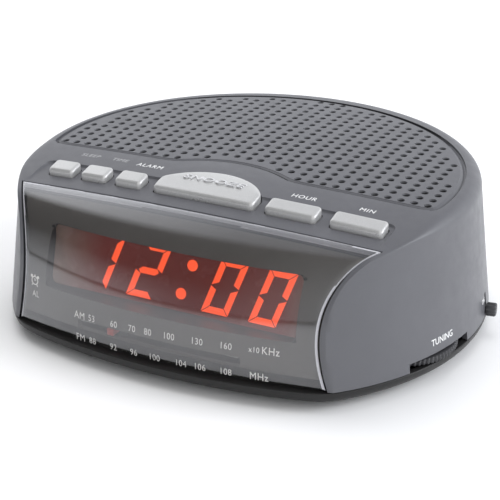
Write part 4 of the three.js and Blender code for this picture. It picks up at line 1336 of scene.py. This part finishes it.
def make_strain_relief():
    """A rubber sleeve with rings cut round it so that it can bend."""
    outer = [(2.0, 80), (5, 80), (5, 81.8), (3.4, 81.8), (3.4, 86.4), (4.0, 86.4), (4.3, 86.7), (4.3, 87.8), (4.0, 88)]
    start, end, rings = 88.3, 93.6, 4
    for i in range(rings):
        a = start + (end - start) * i / rings
        b = a + (end - start) / rings
        wide = 3.75 - 0.22 * i
        outer += [(wide - 0.7, a), (wide, a + 0.25), (wide, b - 0.35), (wide - 0.7, b - 0.15)]
    outer += [(2.6, 94), (2.0, 94)]
    angles = [2 * math.pi * i / 40 for i in range(40)]
    loops = [[(out, r * math.cos(a), CORD_Z + r * math.sin(a)) for a in angles] for r, out in outer]
    made = solid(at_flank(ring_loft(loops), CORD_ANGLE))
    finished(made, "strain_relief", LOOKS["rubber"], "case", ["strain_relief"], 40)


def make_labels():
    """Control names on the top and the flanks."""
    shapes = []
    for words, x, y, size in (("SLEEP", -53.5, -27.4, 2.8), ("TIME", -41.3, -27.4, 2.8), ("ALARM", -28.7, -28.2, 3.0),
                              ("HOUR", 31.5, -29.9, 3.0), ("MIN", 54.2, -29.8, 2.9)):
        flat = text_shape(words, size, 0.06, 0.1, 1.12, 1.0)
        shapes.append(wrapped(flat, on_top(x, y)))
    for words, angle, z, size in (("TUNING", -15.2, 14.0, 3.2), ("VOLUME", 195.2, 14.0, 3.2), ("ON", 7.9, 13.4, 2.4),
                                  ("FM AM", 172.0, 18.0, 2.4)):
        flat = text_shape(words, size, 0.06, 0.0, 1.0, 0.95, 0.02)
        shapes.append(wrapped(flat, on_flank(angle, z)))
    made = face_outwards(make_object("labels", merged(shapes)))
    finished(made, "control_labels", LOOKS["print_white"])


# ---- The room ----

def make_floor():
    half = 4000
    loop = [(-half, -half), (half, -half), (half, half), (-half, half)]
    made = make_object("floor", ([(x, y, 0) for x, y in loop], [(0, 1, 2, 3)]))
    material = new_material("floor")
    n = Nodes(material)
    place = n.add("TexCoord").outputs["Object"]
    parts = n.add("SeparateXYZ", {"Vector": place})
    # To glossy rays the floor turns dark grey beyond 0.3 m in front, fully by 0.85 m: a painted dark reflection for the
    # lens. The camera and diffuse light see it pale.
    beyond = n.ramp(parts.outputs["Y"], -0.3, -0.85)
    mirrored = n.add("LightPath").outputs["Is Glossy Ray"]
    cloud = n.noise(3, 2)
    pale = n.mix(n.ramp(cloud, 0.3, 0.7), (0.93, 0.93, 0.94, 1), (0.95, 0.95, 0.95, 1))
    seen = n.mix(n.math("MULTIPLY", beyond, mirrored), pale, (0.28, 0.28, 0.28, 1))
    shader = n.add("BsdfPrincipled", {"Base Color": seen, "Roughness": 0.85, "Specular IOR Level": 0.1})
    n.add("OutputMaterial", {"Surface": shader.outputs[0]})
    made.data.materials.append(material)


def make_world():
    """A soft room: bright to the left and right, darker where the camera stands."""
    world = bpy.data.worlds.new("studio")
    bpy.context.scene.world = world
    world.use_nodes = True
    tree = world.node_tree
    tree.nodes.clear()
    n = Nodes(world)
    path = n.add("LightPath")
    direction = n.add("TexCoord").outputs["Generated"]
    parts = n.add("SeparateXYZ", {"Vector": direction})
    left = n.ramp(parts.outputs["X"], -0.38, -0.62)
    right = n.ramp(parts.outputs["X"], 0.5, 0.8)
    dark = n.math("MULTIPLY", n.ramp(parts.outputs["Y"], 0.22, 0.0), n.ramp(parts.outputs["Z"], 0.0, 0.4, 0.5, 1.0))
    behind = n.math("MULTIPLY", n.ramp(parts.outputs["Y"], 0.3, 0.7), n.ramp(parts.outputs["Z"], 0.55, 0.35))
    room = n.mix(left, (0.5, 0.51, 0.55, 1), (1.45, 1.47, 1.51, 1))
    room = n.mix(right, room, (1.3, 1.33, 1.4, 1))
    room = n.mix(behind, room, (1.1, 1.12, 1.16, 1))
    shade_side = n.ramp(parts.outputs["X"], -0.32, 0.15)
    room = n.mix(dark, room, n.mix(shade_side, (0.06, 0.06, 0.065, 1), (0.95, 0.95, 0.95, 1)))
    lit = n.add("Background", {"Color": room, "Strength": 1.0})
    seen = n.add("Background", {"Color": (1, 1, 1, 1), "Strength": 1.05})
    mixed = n.add("MixShader", {0: path.outputs["Is Camera Ray"], 1: lit.outputs[0], 2: seen.outputs[0]})
    n.add("OutputWorld", {"Surface": mixed.outputs[0]})


def add_lamp(name, place, target, size, power, colour=(1, 1, 1), mirrored=True):
    data = bpy.data.lights.new(name, "AREA")
    data.shape = "RECTANGLE"
    data.size, data.size_y = size
    data.energy = power
    data.color = colour
    lamp = bpy.data.objects.new(name, data)
    bpy.context.scene.collection.objects.link(lamp)
    lamp.visible_glossy = mirrored
    lamp.location = place
    lamp.rotation_euler = (Vector(target) - Vector(place)).to_track_quat("-Z", "Y").to_euler()


def make_lamps():
    add_lamp("overhead", (-0.25, 0.25, 1.1), (0, 0, 0), (1.1, 0.8), 7.4, (1, 1, 1), False)
    add_lamp("side", (1.1, 0.35, 0.6), (0, 0, 0.03), (0.7, 0.7), 7.5, (0.93, 0.96, 1.0))
    add_lamp("fill", (0.9, -0.8, 0.5), (0, 0, 0.03), (0.8, 0.6), 1.5, (0.93, 0.96, 1.0), False)


def make_camera():
    azimuth, elevation = math.radians(27.2), math.radians(23.6)
    data = bpy.data.cameras.new("camera")
    data.lens = 105.9
    data.sensor_width = 36
    camera = bpy.data.objects.new("camera", data)
    bpy.context.scene.collection.objects.link(camera)
    camera.location = (0.2225, -0.4406, 0.2333)
    back = Vector((math.sin(azimuth) * math.cos(elevation), -math.cos(azimuth) * math.cos(elevation),
                   math.sin(elevation)))
    camera.rotation_euler = back.to_track_quat("Z", "Y").to_euler()
    bpy.context.scene.camera = camera


def dress_frame():
    """Gives every CAD node that is still shown the look of its material slot."""
    for row in frame["record"]["subparts"]:
        node = frame["nodes"][row["node"]]
        if not node.hide_render:
            node.data.materials.clear()
            node.data.materials.append(LOOKS[row["material_slot"]])


make_top_case()
make_bottom_case()
make_lens()
make_panel()
make_display()
make_dial_print()
make_pointer()
for button_name in SMALL_BUTTONS + ["snooze"]:
    button(button_name, LOOKS["silver_plastic"])
make_wheel("tuning_wheel", "tuner")
make_wheel("volume_wheel", "volume")
make_slider_knob("function_switch_knob", "function_slider")
make_slider_knob("band_switch_knob", "band_slider")
make_feet()
make_screws()
make_door()
make_cords()
make_strain_relief()
make_labels()
dress_frame()
make_floor()
make_world()
make_lamps()
make_camera()
bpy.context.scene.view_settings.view_transform = "Standard"
